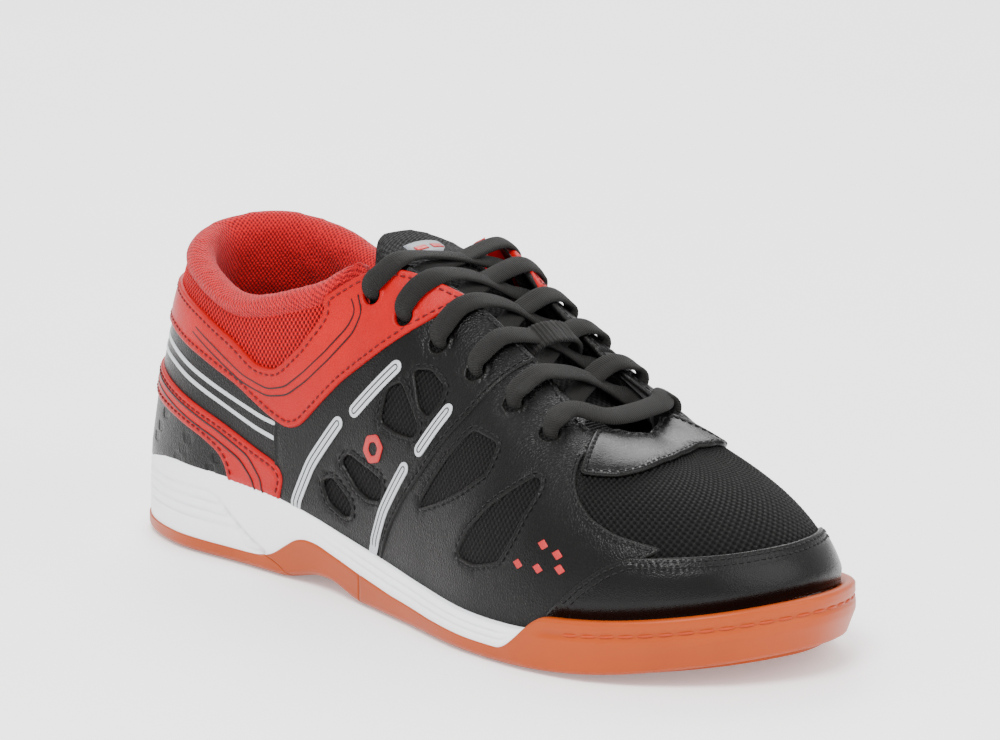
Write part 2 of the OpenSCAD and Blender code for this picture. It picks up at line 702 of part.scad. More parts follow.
// One half of the lace, from its lowest eyelet up; the first pass starts on the given side
function lace_half(first_inner) = [for (k = [5:-1:1])
    let (from_inner = (k % 2 == 1) == first_inner)
    each (from_inner ? lace_pass(eyelets_inner[k], eyelets_outer[k - 1], 1)
                     : lace_pass(eyelets_outer[k], eyelets_inner[k - 1], 0))];
// Loose end tucked down beside the tongue
function lace_tail(e) = [
    raised(e[0], e[1], 0.1), raised(e[0], e[1] - 0.01, lace_under - 0.2), raised(e[0], 0.7, lace_under),
    raised(e[0], 0.62, lace_under - 1.2), raised(e[0], 0.54, lace_under - 2),
    raised(e[0], 0.46, lace_under - 2.4)
];
// Bar across the bottom of the throat, over the leather
lace_bar = [
    raised(7.75, 0.78, lace_over), raised(8, 0.9, lace_over + 1.2), raised(9, 0.98, lace_over + 3),
    raised(12.2, 0.98, lace_over + 3), raised(13.1, 0.92, lace_over + 1.2), raised(13.3, 0.83, lace_over)
];

module lace() {
    color("#161617") tube(concat(
        reversed(concat(lace_half(false), lace_tail(eyelets_inner[0]))),
        lace_bar,
        concat(lace_half(true), lace_tail(eyelets_outer[0]))), lace_d, 8);
}

// Plastic tips on the two tucked ends
module aglets() {
    color("#2e2e30") for (e = [eyelets_outer[0], eyelets_inner[0]]) {
        tail = lace_tail(e);
        a = tail[5];
        d = unit(a - tail[4]);
        translate(a) rotate([0, acos(d.z), atan2(d.y, d.x)]) cylinder(d = 3.4, h = 18, $fn = 24);
    }
}

// ---- Show the parts ----

scale(grade) outsole_forefoot();
scale(grade) outsole_heel();
scale(grade) arch_wedge();
scale(grade) bumper_stitching();
scale(grade) midsole();
scale(grade) shank();
scale(grade) insole_board();
scale(grade) sockliner();
scale(grade) toe_puff();
scale(grade) heel_counter();
scale(grade) vamp_mesh();
scale(grade) side_mesh_lateral();
scale(grade) side_mesh_medial();
scale(grade) heel_backing();
scale(grade) vamp_lining();
scale(grade) side_lining_lateral();
scale(grade) side_lining_medial();
scale(grade) collar_lining();
scale(grade) collar_foam();
scale(grade) collar_mesh();
scale(grade) eyestay_lateral();
scale(grade) eyestay_medial();
scale(grade) red_quarter(false);  // red_quarter_lateral
scale(grade) red_quarter(true);  // red_quarter_medial
scale(grade) heel_band(false);  // heel_band_lateral
scale(grade) heel_band(true);  // heel_band_medial
scale(grade) band_stripes(false);  // band_stripes_lateral
scale(grade) band_stripes(true);  // band_stripes_medial
scale(grade) low_stripe(false);  // low_stripe_lateral
scale(grade) low_stripe(true);  // low_stripe_medial
scale(grade) heel_piece(false);  // heel_piece_lateral
scale(grade) heel_piece(true);  // heel_piece_medial
scale(grade) saddle(false);  // saddle_lateral
scale(grade) saddle(true);  // saddle_medial
scale(grade) saddle_bars(false);  // saddle_bars_lateral
scale(grade) saddle_bars(true);  // saddle_bars_medial
scale(grade) emblem(false);  // emblem_lateral
scale(grade) emblem(true);  // emblem_medial
scale(grade) front_quarter(false);  // front_quarter_lateral
scale(grade) front_quarter(true);  // front_quarter_medial
scale(grade) diamonds(false);  // diamonds_lateral
scale(grade) diamonds(true);  // diamonds_medial
scale(grade) toe_cap();
scale(grade) throat_saddle();
scale(grade) tongue_mesh();
scale(grade) tongue_foam();
scale(grade) tongue_lining();
scale(grade) tongue_label();
scale(grade) lace_keeper();
scale(grade) lace();
scale(grade) aglets();
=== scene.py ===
"""Court shoe for the right foot: the looks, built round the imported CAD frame.

Shapes are worked out in millimetres on the same last surface as the CAD parts and turned into
metres when a mesh is made. +X points to the toe, +Y to the inner side, +Z up.
"""

import math

import bmesh
import bpy
import numpy as np
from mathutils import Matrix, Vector, geometry, kdtree


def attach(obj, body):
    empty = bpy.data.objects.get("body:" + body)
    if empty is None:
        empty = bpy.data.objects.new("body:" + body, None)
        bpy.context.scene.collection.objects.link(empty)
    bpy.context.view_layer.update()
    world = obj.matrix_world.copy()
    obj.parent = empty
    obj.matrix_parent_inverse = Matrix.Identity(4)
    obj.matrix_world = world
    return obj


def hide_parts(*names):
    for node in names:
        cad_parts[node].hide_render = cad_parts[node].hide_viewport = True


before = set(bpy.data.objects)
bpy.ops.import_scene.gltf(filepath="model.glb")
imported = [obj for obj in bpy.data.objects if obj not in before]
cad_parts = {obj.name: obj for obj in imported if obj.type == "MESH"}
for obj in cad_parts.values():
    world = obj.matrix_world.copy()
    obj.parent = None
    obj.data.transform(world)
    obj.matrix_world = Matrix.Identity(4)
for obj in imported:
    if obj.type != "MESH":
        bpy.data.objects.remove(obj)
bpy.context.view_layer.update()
MM = 0.001
TAU = 2 * math.pi

# ---------------------------------------------------------------- the last

# Stations round the last: foot x y z, topline or throat x y z, roundness, side bulge
LAST = np.array([
    [-139, 3, 27, -126, 3, 100, 0, 1.5], [-131, -23, 26.5, -117, -16, 98, 0, 1.5],
    [-106, -33, 26, -100, -26, 93, 0, 2.5], [-72, -33, 25, -76, -31, 89, 0, 2],
    [-40, -33, 22, -48, -29, 96, 0.1, 2], [-10, -36, 18.5, -22, -19, 107, 0.3, 2],
    [20, -42, 16.5, 6, -9, 96.5, 0.5, 2], [50, -47, 16, 32, -7, 82, 0.7, 2],
    [80, -46, 18, 54, -5, 69, 0.85, 1.5], [107, -37, 21, 63, 0, 63, 1, 1],
    [127, -19, 24, 67, 6, 61, 1, 0], [136, 7, 26.5, 66, 9, 61, 0.9, 0],
    [129, 29, 25, 63, 14, 63, 0.8, 0], [107, 41, 22, 54, 19, 68.5, 0.55, -1],
    [76, 46, 20, 32, 19, 80, 0.5, 0], [42, 45, 20, 6, 20, 94, 0.5, 1],
    [4, 39, 23, -22, 27, 106, 0.35, 2], [-36, 34, 25, -48, 35, 97, 0.15, 2],
    [-72, 35, 26, -76, 36, 90, 0.05, 2], [-104, 37, 27, -99, 32, 97.5, 0, 2.5],
    [-130, 26, 27, -116, 20, 102, 0, 1.5],
], float)
# Plan outline of the sole, in the same order
SOLE_PLAN = np.array([
    [-144, 3], [-134, -23], [-107, -36], [-70, -36], [-30, -37], [10, -44], [48, -52], [83, -51],
    [112, -41], [134, -22], [144, 2], [140, 22], [127, 38], [106, 48], [76, 52], [38, 51], [-5, 42],
    [-50, 38], [-90, 40], [-129, 32], [-143, 17],
], float)
STATIONS = len(LAST)
OUTER, INNER = -1, 1
SIDES = (("lateral", OUTER), ("medial", INNER))
STEP_SIZE = np.array([32.0, 70.0])  # about how many millimetres one step of u and of v covers


def spline(points, t):
    """Catmull-Rom curve between the second and third of four points."""
    p0, p1, p2, p3 = points
    return 0.5 * (2 * p1 + (p2 - p0) * t + (2 * p0 - 5 * p1 + 4 * p2 - p3) * t**2
                  + (3 * p1 - p0 - 3 * p2 + p3) * t**3)


def around(table, u):
    """Smooth closed curve through the rows of a table, at place u."""
    u = np.asarray(u, float)
    i = np.floor(u).astype(int)
    return spline([table[(i + k) % len(table)] for k in (-1, 0, 1, 2)], (u - i)[..., None])


def smooth(t):
    t = np.clip(t, 0, 1)
    return t * t * (3 - 2 * t)


def unit(v):
    return v / np.maximum(np.linalg.norm(v, axis=-1, keepdims=True), 1e-9)


def upper(u, v):
    """Point of the last at station u; v runs from the sole (0) to the topline or throat (1)."""
    u, v = np.broadcast_arrays(np.asarray(u, float), np.asarray(v, float))
    s = around(LAST, u)
    ahead = unit(around(LAST, u + 0.01)[..., :2] - s[..., :2])
    out = np.stack([ahead[..., 1], -ahead[..., 0]], -1)
    k = s[..., 6]
    rise = (1 - k) * v + k * np.sin(v * math.pi / 2)
    lean = (1 - k) * v + k * (1 - np.cos(v * math.pi / 2))
    bulge = s[..., 7] * np.sin(v * math.pi)
    flat = s[..., :2] + (s[..., 3:5] - s[..., :2]) * lean[..., None] + out * bulge[..., None]
    return np.concatenate([flat, (s[..., 2] + (s[..., 5] - s[..., 2]) * rise)[..., None]], -1)


def slopes(u, v):
    """Directions along u and along v, in millimetres per step."""
    u, v = np.broadcast_arrays(np.asarray(u, float), np.asarray(v, float))
    back = np.where(v < 0.5, 0.0, 0.02)
    along = (upper(u + 0.02, v) - upper(u, v)) / 0.02
    up = (upper(u, v + 0.02 - back) - upper(u, v - back)) / 0.02
    return along, up


def normal(u, v):
    along, up = slopes(u, v)
    return unit(np.cross(along, up))


def raised(u, v, d):
    return upper(u, v) + normal(u, v) * np.asarray(d, float)[..., None]


# ---------------------------------------------------------------- outlines

BACK_X = -136  # outline points behind this lie on the seam at the back of the heel
# Seam lines in side view, x and z
COLLAR_EDGE = [(-139, 85.5), (-118, 84), (-96, 79), (-78, 73), (-66, 67), (-57, 67), (-47, 76),
               (-38, 88), (-40, 94), (-46, 99), (-46, 112)]
RED_FRONT = [(20, 106), (6, 95), (-8, 84), (-28, 68), (-41, 55), (-45, 51), (-51, 49)]
RED_UNDER = [(-51, 49), (-60, 52), (-75, 59), (-95, 65), (-116, 70), (-139, 72.5)]
LOW_OVER = [(-139, 58), (-123, 56), (-99, 50), (-84, 46), (-64, 39), (-57, 37), (-53, 33)]
LOW_FRONT = [(-53, 33), (-56, 26), (-60, 10)]
LOW_UNDER = [(-139, 48.5), (-124, 46), (-104, 42), (-93, 39), (-84, 35), (-81, 30), (-81, 10)]
SADDLE_SEAM = [(44, 104), (35, 83), (33, 76), (29, 67), (22, 58), (16, 49), (8, 38), (1, 27),
               (-3, 17), (-4, 5)]
QUARTER_FRONT = [(66, 80), (67, 68), (72, 61), (77, 55), (82, 51), (89, 47), (98, 44), (113, 41),
                 (106, 36), (98, 32), (94, 26), (90, 20), (88, 5)]
VENTS = [
    [(-9, 59), (-8, 69), (-3, 72), (2, 67), (9, 60), (8, 57), (-1, 57)],
    [(1, 76), (7, 77), (15, 73), (15, 68), (12, 64), (7, 66)],
    [(-26, 43), (-23, 46), (-5, 41), (-5, 35), (-11, 34), (-18, 36)],
    [(-35, 35), (-30, 37), (-21, 31), (-20, 27), (-24, 26), (-32, 29)],
]
WINDOWS = [
    [(33, 64), (45, 62), (45, 54), (36, 47), (27, 42), (15, 37), (20, 46), (26, 55)],
    [(64, 56), (67, 53), (63, 38), (59, 30), (48, 27), (39, 28), (43, 36), (52, 46)],
]
PERFORATIONS = [(-115, 42), (-119, 37), (-122, 33), (-100, 37), (-103, 33), (-106, 29), (-86, 33),
                (-89, 29)]
BARS = [[(-21, 60), (-6, 76)], [(-28, 55), (-40, 40), (-48, 26), (-51, 14)], [(12, 54), (20, 67)],
        [(6, 47), (-3, 32), (-8, 18), (-9, 8)]]
BAND_STRIPES = [[(-131, 68), (-114, 64.5), (-84, 56), (-63, 50.5), (-57.6, 49.7)],
                [(-131, 63.5), (-112, 60), (-84, 52), (-66, 46.5), (-57.6, 44.7)]]
RED_LINES = [[(-139, 82), (-118, 79), (-100, 74.5), (-86, 69), (-72, 63), (-60, 60.5), (-52, 62.5),
              (-44, 68.5), (-36, 76), (-28, 85), (-26, 90), (-29, 94)],
             [(-139, 79.6), (-118, 76.6), (-100, 72.2), (-87, 66.8), (-73, 60.8), (-60, 58.2), (-51, 60),
              (-42.5, 66), (-34, 74), (-25.5, 83.5), (-23.5, 90), (-26.5, 95)]]
LOW_LINES = [[(-139, 55), (-123, 53), (-99, 47), (-84, 42.5), (-70, 37), (-64, 30), (-64, 16)],
             [(-139, 52.5), (-123, 50.5), (-101, 44.5), (-86, 40), (-74, 35), (-68, 29), (-67, 16)]]
BADGE_AT = np.array([-10.5, 50.0])
BADGE_R, BADGE_HOLE_R = 5, 2.4
DIAMONDS = [(76, 38), (82, 36), (68, 31), (76, 31), (84, 32)]
EYELETS = {
    OUTER: [(4.92, 0.83), (5.36, 0.77), (5.85, 0.74), (6.45, 0.73), (7.1, 0.73), (7.7, 0.72)],
    INNER: [(16.08, 0.83), (15.65, 0.79), (15.15, 0.78), (14.6, 0.78), (13.95, 0.78), (13.35, 0.78)],
}
EYELET_R = 2.9
# Crown of the toe cap and edges of the throat saddle, as station and row
CAP_CROWN = [(7.95, -0.02), (8.2, 0.06), (8.4, 0.13), (8.7, 0.21), (9, 0.26), (9.6, 0.26), (11, 0.25),
             (12, 0.26), (12.3, 0.21), (12.6, 0.13), (12.85, 0.05), (13, -0.02)]
SADDLE_LOW = [(8.3, 0.6), (8.9, 0.63), (9.3, 0.68), (9.8, 0.75), (10.5, 0.8), (11.4, 0.81), (12, 0.76),
              (12.7, 0.66)]
SADDLE_TOP = [(12.75, 0.9), (12.3, 0.97), (11.5, 0.985), (9.7, 0.985), (8.9, 0.96), (8.35, 0.88)]


def from_heel(u):
    """Stations between a place and the back of the heel, the shorter way round."""
    return np.where(u > STATIONS / 2, STATIONS - u, u)


def top_row(u):
    """Row where the leather ends: under the collar roll round the foot, at the edge in the throat."""
    return 0.9 + 0.1 * smooth((from_heel(u) - 4.25) / 0.5)


def dive(v, high):
    """How far a raised piece sinks at the foot, to go in behind the lip of the midsole."""
    return max(0.0, high - 0.8) * (1 - smooth((v + 0.02) / 0.07))


def foot_tuck(u):
    """How many rows the leather runs on below the foot line, behind the lip of the midsole."""
    return 0.02 + 0.08 * smooth((from_heel(u) - 4.2) / 1.5)


def distances(points):
    """How far along a line each of its points lies."""
    return np.concatenate([[0], np.cumsum(np.linalg.norm(np.diff(points, axis=0), axis=1))])


def rows_at(at, run, rows):
    """Rows of numbers at other distances along a line."""
    return np.stack([np.interp(at, run, rows[:, i]) for i in range(rows.shape[1])], -1)


def resample(points, step, closed):
    """The same line with even spacing."""
    points = np.asarray(points, float)
    if closed:
        points = np.vstack([points, points[:1]])
    run = distances(points)
    count = max(4, int(round(run[-1] / step)))
    at = np.linspace(0, run[-1], count + 1)
    if closed:
        at = at[:-1]
    return rows_at(at, run, points)


def soften(points, rounds, closed, fixed=None):
    """Rounds off the corners; fixed points stay."""
    points = points.copy()
    for _ in range(rounds):
        mid = (np.roll(points, 1, 0) + np.roll(points, -1, 0)) / 2
        moved = (points + mid) / 2
        if not closed:
            moved[0], moved[-1] = points[0], points[-1]
        if fixed is not None:
            moved[fixed] = points[fixed]
        points = moved
    return points


def side_table(side):
    """Grid over one side of the last, to look up where a side-view point lies on it."""
    ends = (0, 10.6) if side == OUTER else (10.4, STATIONS)
    u, v = np.meshgrid(np.linspace(*ends, 300), np.linspace(-0.15, 1.15, 110), indexing="ij")
    return u, v, raised(u, v, np.full(u.shape, 1.0))


SIDE_TABLES = {side: side_table(side) for _, side in SIDES}


def on_last(points, side):
    """Side-view points (x, z) as places (u, v) on one side of the last."""
    points = np.asarray(points, float)
    gu, gv, gp = SIDE_TABLES[side]
    flat = gp.reshape(-1, 3)[:, [0, 2]]
    near = np.array([np.argmin(((flat - p) ** 2).sum(1)) for p in points])
    place = np.stack([gu.reshape(-1)[near], gv.reshape(-1)[near]], -1)
    for _ in range(4):
        u, v = place[:, 0], place[:, 1]
        now = raised(u, v, np.ones(len(u)))[:, [0, 2]]
        along, up = (s[:, [0, 2]] for s in slopes(u, v))
        det = along[:, 0] * up[:, 1] - along[:, 1] * up[:, 0]
        det = np.where(np.abs(det) < 60, 60 * np.where(det < 0, -1, 1), det)
        gap = points - now
        step = np.stack([gap[:, 0] * up[:, 1] - gap[:, 1] * up[:, 0],
                         along[:, 0] * gap[:, 1] - along[:, 1] * gap[:, 0]], -1) / det[:, None]
        place = place + np.clip(step, -0.05, 0.05)
    seam = points[:, 0] < BACK_X
    seam_u = 0.0 if side == OUTER else float(STATIONS)
    rows = np.linspace(-0.15, 1.15, 100)
    heights = upper(np.full(100, seam_u), rows)[:, 2]
    place[seam, 0] = seam_u
    place[seam, 1] = np.interp(points[seam, 1], heights, rows)
    return place


def clip(loop, keep):
    """The part of a closed loop where keep(loop) is positive."""
    score = keep(loop)
    out = []
    for i, point in enumerate(loop):
        j = (i + 1) % len(loop)
        if score[i] >= 0:
            out.append(point)
        if (score[i] >= 0) != (score[j] >= 0):
            t = score[i] / (score[i] - score[j])
            out.append(point + (loop[j] - point) * t)
    return np.array(out)


def area(loop):
    nxt = np.roll(loop, -1, 0)
    return 0.5 * np.sum(loop[:, 0] * nxt[:, 1] - loop[:, 1] * nxt[:, 0])


def closed_on_last(points, side, rounds=8, step=1.1):
    """Closed side-view outline as an even, rounded loop of places on the last."""
    line = resample(points, step, True)
    pinned = (line[:, 0] < BACK_X) | (line[:, 1] < 12)
    loop = on_last(soften(line, rounds, True, pinned), side)
    loop = clip(loop, lambda p: p[:, 1] + foot_tuck(p[:, 0]))
    loop = clip(loop, lambda p: top_row(p[:, 0]) - p[:, 1])
    return loop_on_last(loop, 0, step)


def loop_on_last(loop, rounds=0, step=1.1):
    """Closed loop of places, evenly spaced and anticlockwise as seen from outside."""
    loop = resample(np.asarray(loop, float) * STEP_SIZE, step, True)
    loop = soften(loop, rounds, True) / STEP_SIZE
    return loop if area(loop) > 0 else loop[::-1]


def open_on_last(points, side, rounds=8, step=0.8):
    line = soften(resample(points, step, False), rounds, False)
    place = on_last(line, side)
    return place[(place[:, 1] > 0) & (place[:, 1] < top_row(place[:, 0]))]


def bar_outline(points, width):
    """Side-view outline with round ends, along a line."""
    line = soften(resample(points, 1, False), 6, False)
    ahead = unit(np.gradient(line, axis=0))
    across = np.stack([-ahead[:, 1], ahead[:, 0]], -1) * width / 2
    cap = np.linspace(0, math.pi, 9)[1:-1]
    end = [line[-1] + across[-1] * math.cos(a) + ahead[-1] * width / 2 * math.sin(a) for a in cap]
    start = [line[0] - across[0] * math.cos(a) - ahead[0] * width / 2 * math.sin(a) for a in cap]
    return np.vstack([line + across, end, (line - across)[::-1], start])


def ring_on_last(place, radius, count=26):
    """Circle of places round one place."""
    along, up = slopes(np.array([place[0]]), np.array([place[1]]))
    turn = np.linspace(0, TAU, count, endpoint=False)
    ahead, across = unit(along[0]), unit(np.cross(normal(*place), along[0]))
    flat = ahead * np.cos(turn)[:, None] + across * np.sin(turn)[:, None]
    along, up = np.repeat(along, count, 0), np.repeat(up, count, 0)
    return np.asarray(place) + solve_step(along, up, flat * radius)


def solve_step(along, up, move):
    """Step in u and v that makes a move in the surface."""
    aa, ab, bb = (along**2).sum(-1), (along * up).sum(-1), (up**2).sum(-1)
    ma, mb = (along * move).sum(-1), (up * move).sum(-1)
    det = aa * bb - ab * ab
    return np.stack([(ma * bb - mb * ab) / det, (mb * aa - ma * ab) / det], -1)


def inset(loop, distance):
    """A closed loop of places moved into the leather, to the left of its direction."""
    u, v = loop[:, 0], loop[:, 1]
    points = upper(u, v)
    ahead = unit(np.roll(points, -1, 0) - np.roll(points, 1, 0))
    along, up = slopes(u, v)
    move = np.cross(normal(u, v), ahead) * distance
    return loop + solve_step(along, up, move)


def inside(points, loop):
    """Which points lie inside a closed loop, in the plane."""
    x, y = points[:, 0:1], points[:, 1:2]
    x0, y0 = loop[:, 0], loop[:, 1]
    x1, y1 = np.roll(x0, -1), np.roll(y0, -1)
    rising = (y0 > y) != (y1 > y)
    cross = x0 + (y - y0) * (x1 - x0) / np.where(y1 == y0, 1e-12, y1 - y0)
    return (rising & (x < cross)).sum(1) % 2 == 1


def nearest(points, targets):
    """Distance of each point from the nearest target."""
    tree = kdtree.KDTree(len(targets))
    for i, p in enumerate(targets):
        tree.insert(p, i)
    tree.balance()
    return np.array([tree.find(p)[2] for p in points])


# ---------------------------------------------------------------- meshes

materials = {}


def piece(name, verts, faces, material, body="shoe", nodes=(), uv=None, rim=None, shade=True):
    """Mesh object in the row frame that rides on a body and stands for CAD nodes."""
    mesh = bpy.data.meshes.new(name)
    mesh.from_pydata((np.asarray(verts) * MM).tolist(), [], [list(map(int, f)) for f in faces])
    mesh.validate()
    obj = bpy.data.objects.new(name, mesh)
    bpy.context.collection.objects.link(obj)
    mesh.materials.append(materials[material])
    mesh.polygons.foreach_set("use_smooth", [shade] * len(mesh.polygons))
    if uv is not None:
        corner = np.zeros(len(mesh.loops), int)
        mesh.loops.foreach_get("vertex_index", corner)
        mesh.uv_layers.new(name="weave").data.foreach_set("uv", np.asarray(uv)[corner].ravel())
    if rim is not None:
        mesh.attributes.new("rim", "FLOAT", "POINT").data.foreach_set("value", np.asarray(rim, np.float32))
    finish_piece(obj, body, nodes)
    return obj


def finish_piece(obj, body, nodes):
    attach(obj, body)
    if nodes:
        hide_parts(*nodes)


def sheet_grid(count_u, count_v):
    """Quads of a grid of points, stored column by column."""
    i, j = np.meshgrid(np.arange(count_u - 1), np.arange(count_v - 1), indexing="ij")
    a = (i * count_v + j).ravel()
    return np.stack([a, a + count_v, a + count_v + 1, a + 1], -1)


def two_layers(count_u, count_v):
    """Faces of a closed sheet: a grid of points, the same grid for its back, and the rim between them."""
    n, m = count_u, count_v
    quads, shift = sheet_grid(n, m), n * m
    rim = ([(i * m, (i + 1) * m) for i in range(n - 1)]
           + [((n - 1) * m + j, (n - 1) * m + j + 1) for j in range(m - 1)]
           + [((i + 1) * m + m - 1, i * m + m - 1) for i in range(n - 1)]
           + [(j + 1, j) for j in range(m - 1)])
    return (quads.tolist() + (quads[:, ::-1] + shift).tolist()
            + [(b, a, a + shift, b + shift) for a, b in rim])


def tube_faces(count, ring, closed_start=True, closed_end=True):
    """Faces of a tube of closed rings of points, with a cap at each closed end."""
    i, j = np.meshgrid(np.arange(count - 1), np.arange(ring), indexing="ij")
    a, b = (i * ring + j).ravel(), (i * ring + (j + 1) % ring).ravel()
    faces = np.stack([a, a + ring, b + ring, b], -1).tolist()
    if closed_start:
        faces.append(tuple(range(ring)))
    if closed_end:
        faces.append(tuple((count - 1) * ring + j for j in range(ring - 1, -1, -1)))
    return faces


SEAM_DEPTH, SEAM_W = 0.28, 0.5  # how far the thread pulls the leather in, and how wide
BEAD_AT, BEAD_W = 0.9, 0.55  # swelling between the seam and the edge
RIPPLE = 0.12  # slow unevenness of the leather
EDGE_TONE_W = 0.9  # how far the band of another tone reaches in from an edge


def panel(name, loops, low, high, material, nodes=(), slot=None, rows=(), edge=0.8, spacing=1.7, bead=0.0):
    """Leather panel over the last: rounded edges, sunk stitch rows and a skirt down to low."""
    flat = [loop * STEP_SIZE for loop in loops]
    rings = [0.3 * edge, edge] + [r + k for r in rows for k in (-SEAM_W, 0, SEAM_W)]
    extra = [inset(loop, r) for loop in loops for r in rings]
    lo, hi = flat[0].min(0), flat[0].max(0)
    gx, gy = np.meshgrid(np.arange(lo[0], hi[0], spacing), np.arange(lo[1], hi[1], spacing * 0.866))
    gx = gx + (np.arange(gx.shape[0]) % 2)[:, None] * spacing / 2
    grid = np.stack([gx.ravel(), gy.ravel()], -1)
    grid = grid[in_region(grid, flat)]
    border = np.vstack([upper(loop[:, 0], loop[:, 1]) for loop in loops])
    far = nearest(upper(*(grid / STEP_SIZE).T), border)
    grid = grid[far > (max(rings) + 0.4 * spacing)]
    ring_points = [grid]
    for k, ring in enumerate(extra):
        reach = rings[k % len(rings)]
        ring = ring[in_region(ring * STEP_SIZE, flat)]
        if len(ring):
            ring = ring[nearest(upper(ring[:, 0], ring[:, 1]), border) > 0.85 * reach]
            ring_points.append(ring[::1 if reach < 1 else 2] * STEP_SIZE)
    edges, start = [], 0
    for loop in flat:
        edges += [(start + i, start + (i + 1) % len(loop)) for i in range(len(loop))]
        start += len(loop)
    cloud = np.vstack(flat + ring_points)
    made = geometry.delaunay_2d_cdt([Vector(p) for p in cloud], edges, [], 0, 1e-5, False)
    points = np.array([tuple(p) for p in made[0]])
    tris = np.array([f for f in made[2]])
    tris = tris[in_region(points[tris].mean(1), flat)]
    turn = np.cross(points[tris[:, 1]] - points[tris[:, 0]], points[tris[:, 2]] - points[tris[:, 0]])
    tris[turn < 0] = tris[turn < 0][:, ::-1]
    used, tris = np.unique(tris, return_inverse=True)
    tris = tris.reshape(-1, 3)
    place = points[used] / STEP_SIZE
    u, v = place[:, 0], place[:, 1]
    base, out = upper(u, v), normal(u, v)
    gap = nearest(base, border)
    lift = high - edge * (1 - np.sqrt(np.clip(1 - (1 - np.clip(gap / edge, 0, 1)) ** 2, 0, 1)))
    for r in rows:
        lift = lift - SEAM_DEPTH * np.exp(-(((gap - r) / SEAM_W) ** 2))
    lift = lift + bead * np.exp(-(((gap - BEAD_AT) / BEAD_W) ** 2))
    ripple = np.sin(base[:, 0] / 9 + base[:, 1] / 13) * np.sin(base[:, 2] / 7)
    lift = lift + RIPPLE * ripple * smooth(gap / 6)
    lift = np.maximum(lift - dive(v, high), low + 0.1)
    top = base + out * lift[:, None]
    bottom = base + out * low
    count = len(top)
    pairs = np.vstack([tris[:, [0, 1]], tris[:, [1, 2]], tris[:, [2, 0]]])
    seen = set(map(tuple, pairs.tolist()))
    open_edges = [(a, b) for a, b in seen if (b, a) not in seen]
    faces = tris.tolist() + (tris[:, ::-1] + count).tolist()
    faces += [(b, a, a + count, b + count) for a, b in open_edges]
    rim = np.concatenate([np.exp(-gap / EDGE_TONE_W), np.zeros(count)])
    weave = np.vstack([base[:, [0, 2]], base[:, [0, 2]]])
    return piece(name, np.vstack([top, bottom]), faces, material, "shoe", nodes, weave, rim)


def in_region(points, loops):
    hit = inside(points, loops[0])
    for hole in loops[1:]:
        hit &= ~inside(points, hole)
    return hit


def ribbon(name, place_runs, width, low, high, material, nodes=(), slot=None):
    """Thin flat strips along lines of places."""
    verts, faces = [], []
    for place in place_runs:
        u, v = place[:, 0], place[:, 1]
        points, out = upper(u, v), normal(u, v)
        across = unit(np.cross(out, unit(np.gradient(points, axis=0)))) * width / 2
        start = sum(len(x) for x in verts)
        points = points - out * dive(v, high)[:, None]
        rows = [points - across + out * low, points - across + out * high,
                points + across + out * high, points + across + out * low]
        verts.append(np.stack(rows, 1).reshape(-1, 3))
        n = len(points)
        for i in range(n - 1):
            a, b = start + 4 * i, start + 4 * i + 4
            faces += [(a + k, b + k, b + (k + 1) % 4, a + (k + 1) % 4) for k in range(4)]
        faces += [(start + 3, start + 2, start + 1, start)]
        faces += [tuple(start + 4 * (n - 1) + k for k in range(4))]
    return piece(name, np.vstack(verts), faces, material, "shoe", nodes, shade=False)


def thread(name, runs, material, pitch=2.7, length=2.0, radius=0.33, body="shoe", nodes=()):
    """Row of stitches along lines of points, each a short thread that dips at both ends."""
    sides = 6
    turn = np.linspace(0, TAU, sides, endpoint=False)
    reach = np.array([-0.5, -0.34, 0, 0.34, 0.5])  # place of each ring along the stitch
    girth = np.array([0.35, 0.9, 1.0, 0.9, 0.35])
    dip = np.array([-0.75, 0.05, 0.25, 0.05, -0.75])
    stitch = np.array(tube_faces(len(reach), sides)[:-2])
    ends = tuple(range(sides - 1, -1, -1)), tuple((len(reach) - 1) * sides + k for k in range(sides))
    verts, faces = [], []
    for points, out in runs:
        run = distances(points)
        count = int(run[-1] / pitch)
        if count < 2:
            continue
        at = (np.arange(count) + 0.5) * run[-1] / count
        centre = rows_at(at, run, points)
        up = unit(rows_at(at, run, out))
        ahead = unit(centre - rows_at(at - 0.4, run, points))
        side = unit(np.cross(up, ahead))
        for c, a, s, n in zip(centre, ahead, side, up):
            start = len(verts) * len(reach) * sides
            circle = s * np.cos(turn)[:, None] + n * np.sin(turn)[:, None]
            verts.append(np.vstack([c + a * length * r + n * radius * d + circle * radius * g
                                    for r, g, d in zip(reach, girth, dip)]))
            faces += (stitch + start).tolist() + [[start + k for k in end] for end in ends]
    return piece(name, np.vstack(verts), faces, material, body, nodes)


def stitch_runs(loops, distance, height, keep):
    """Stretches of the line a distance inside each loop where keep(u, v) holds."""
    runs = []
    border = np.vstack([upper(loop[:, 0], loop[:, 1]) for loop in loops])
    for loop in loops:
        line = inset(loop, distance)
        u, v = line[:, 0], line[:, 1]
        points = upper(u, v)
        good = keep(u, v) & (nearest(points, border) > 0.8 * distance)
        out = normal(u, v)
        points = points + out * height
        if good.all():
            runs.append((np.vstack([points, points[:1]]), np.vstack([out, out[:1]])))
            continue
        first = int(np.argmin(good))
        order = np.roll(np.arange(len(good)), -first)
        stretch = []
        for i in order:
            if good[i]:
                stretch.append(i)
            elif stretch:
                runs.append((points[stretch], out[stretch]))
                stretch = []
        if stretch:
            runs.append((points[stretch], out[stretch]))
    return [r for r in runs if len(r[0]) > 6]


def above_sole(u, v):
    return (v > 0.04) & (v < top_row(u) - 0.01) & (from_heel(u) > 0.02)


# ---------------------------------------------------------------- materials


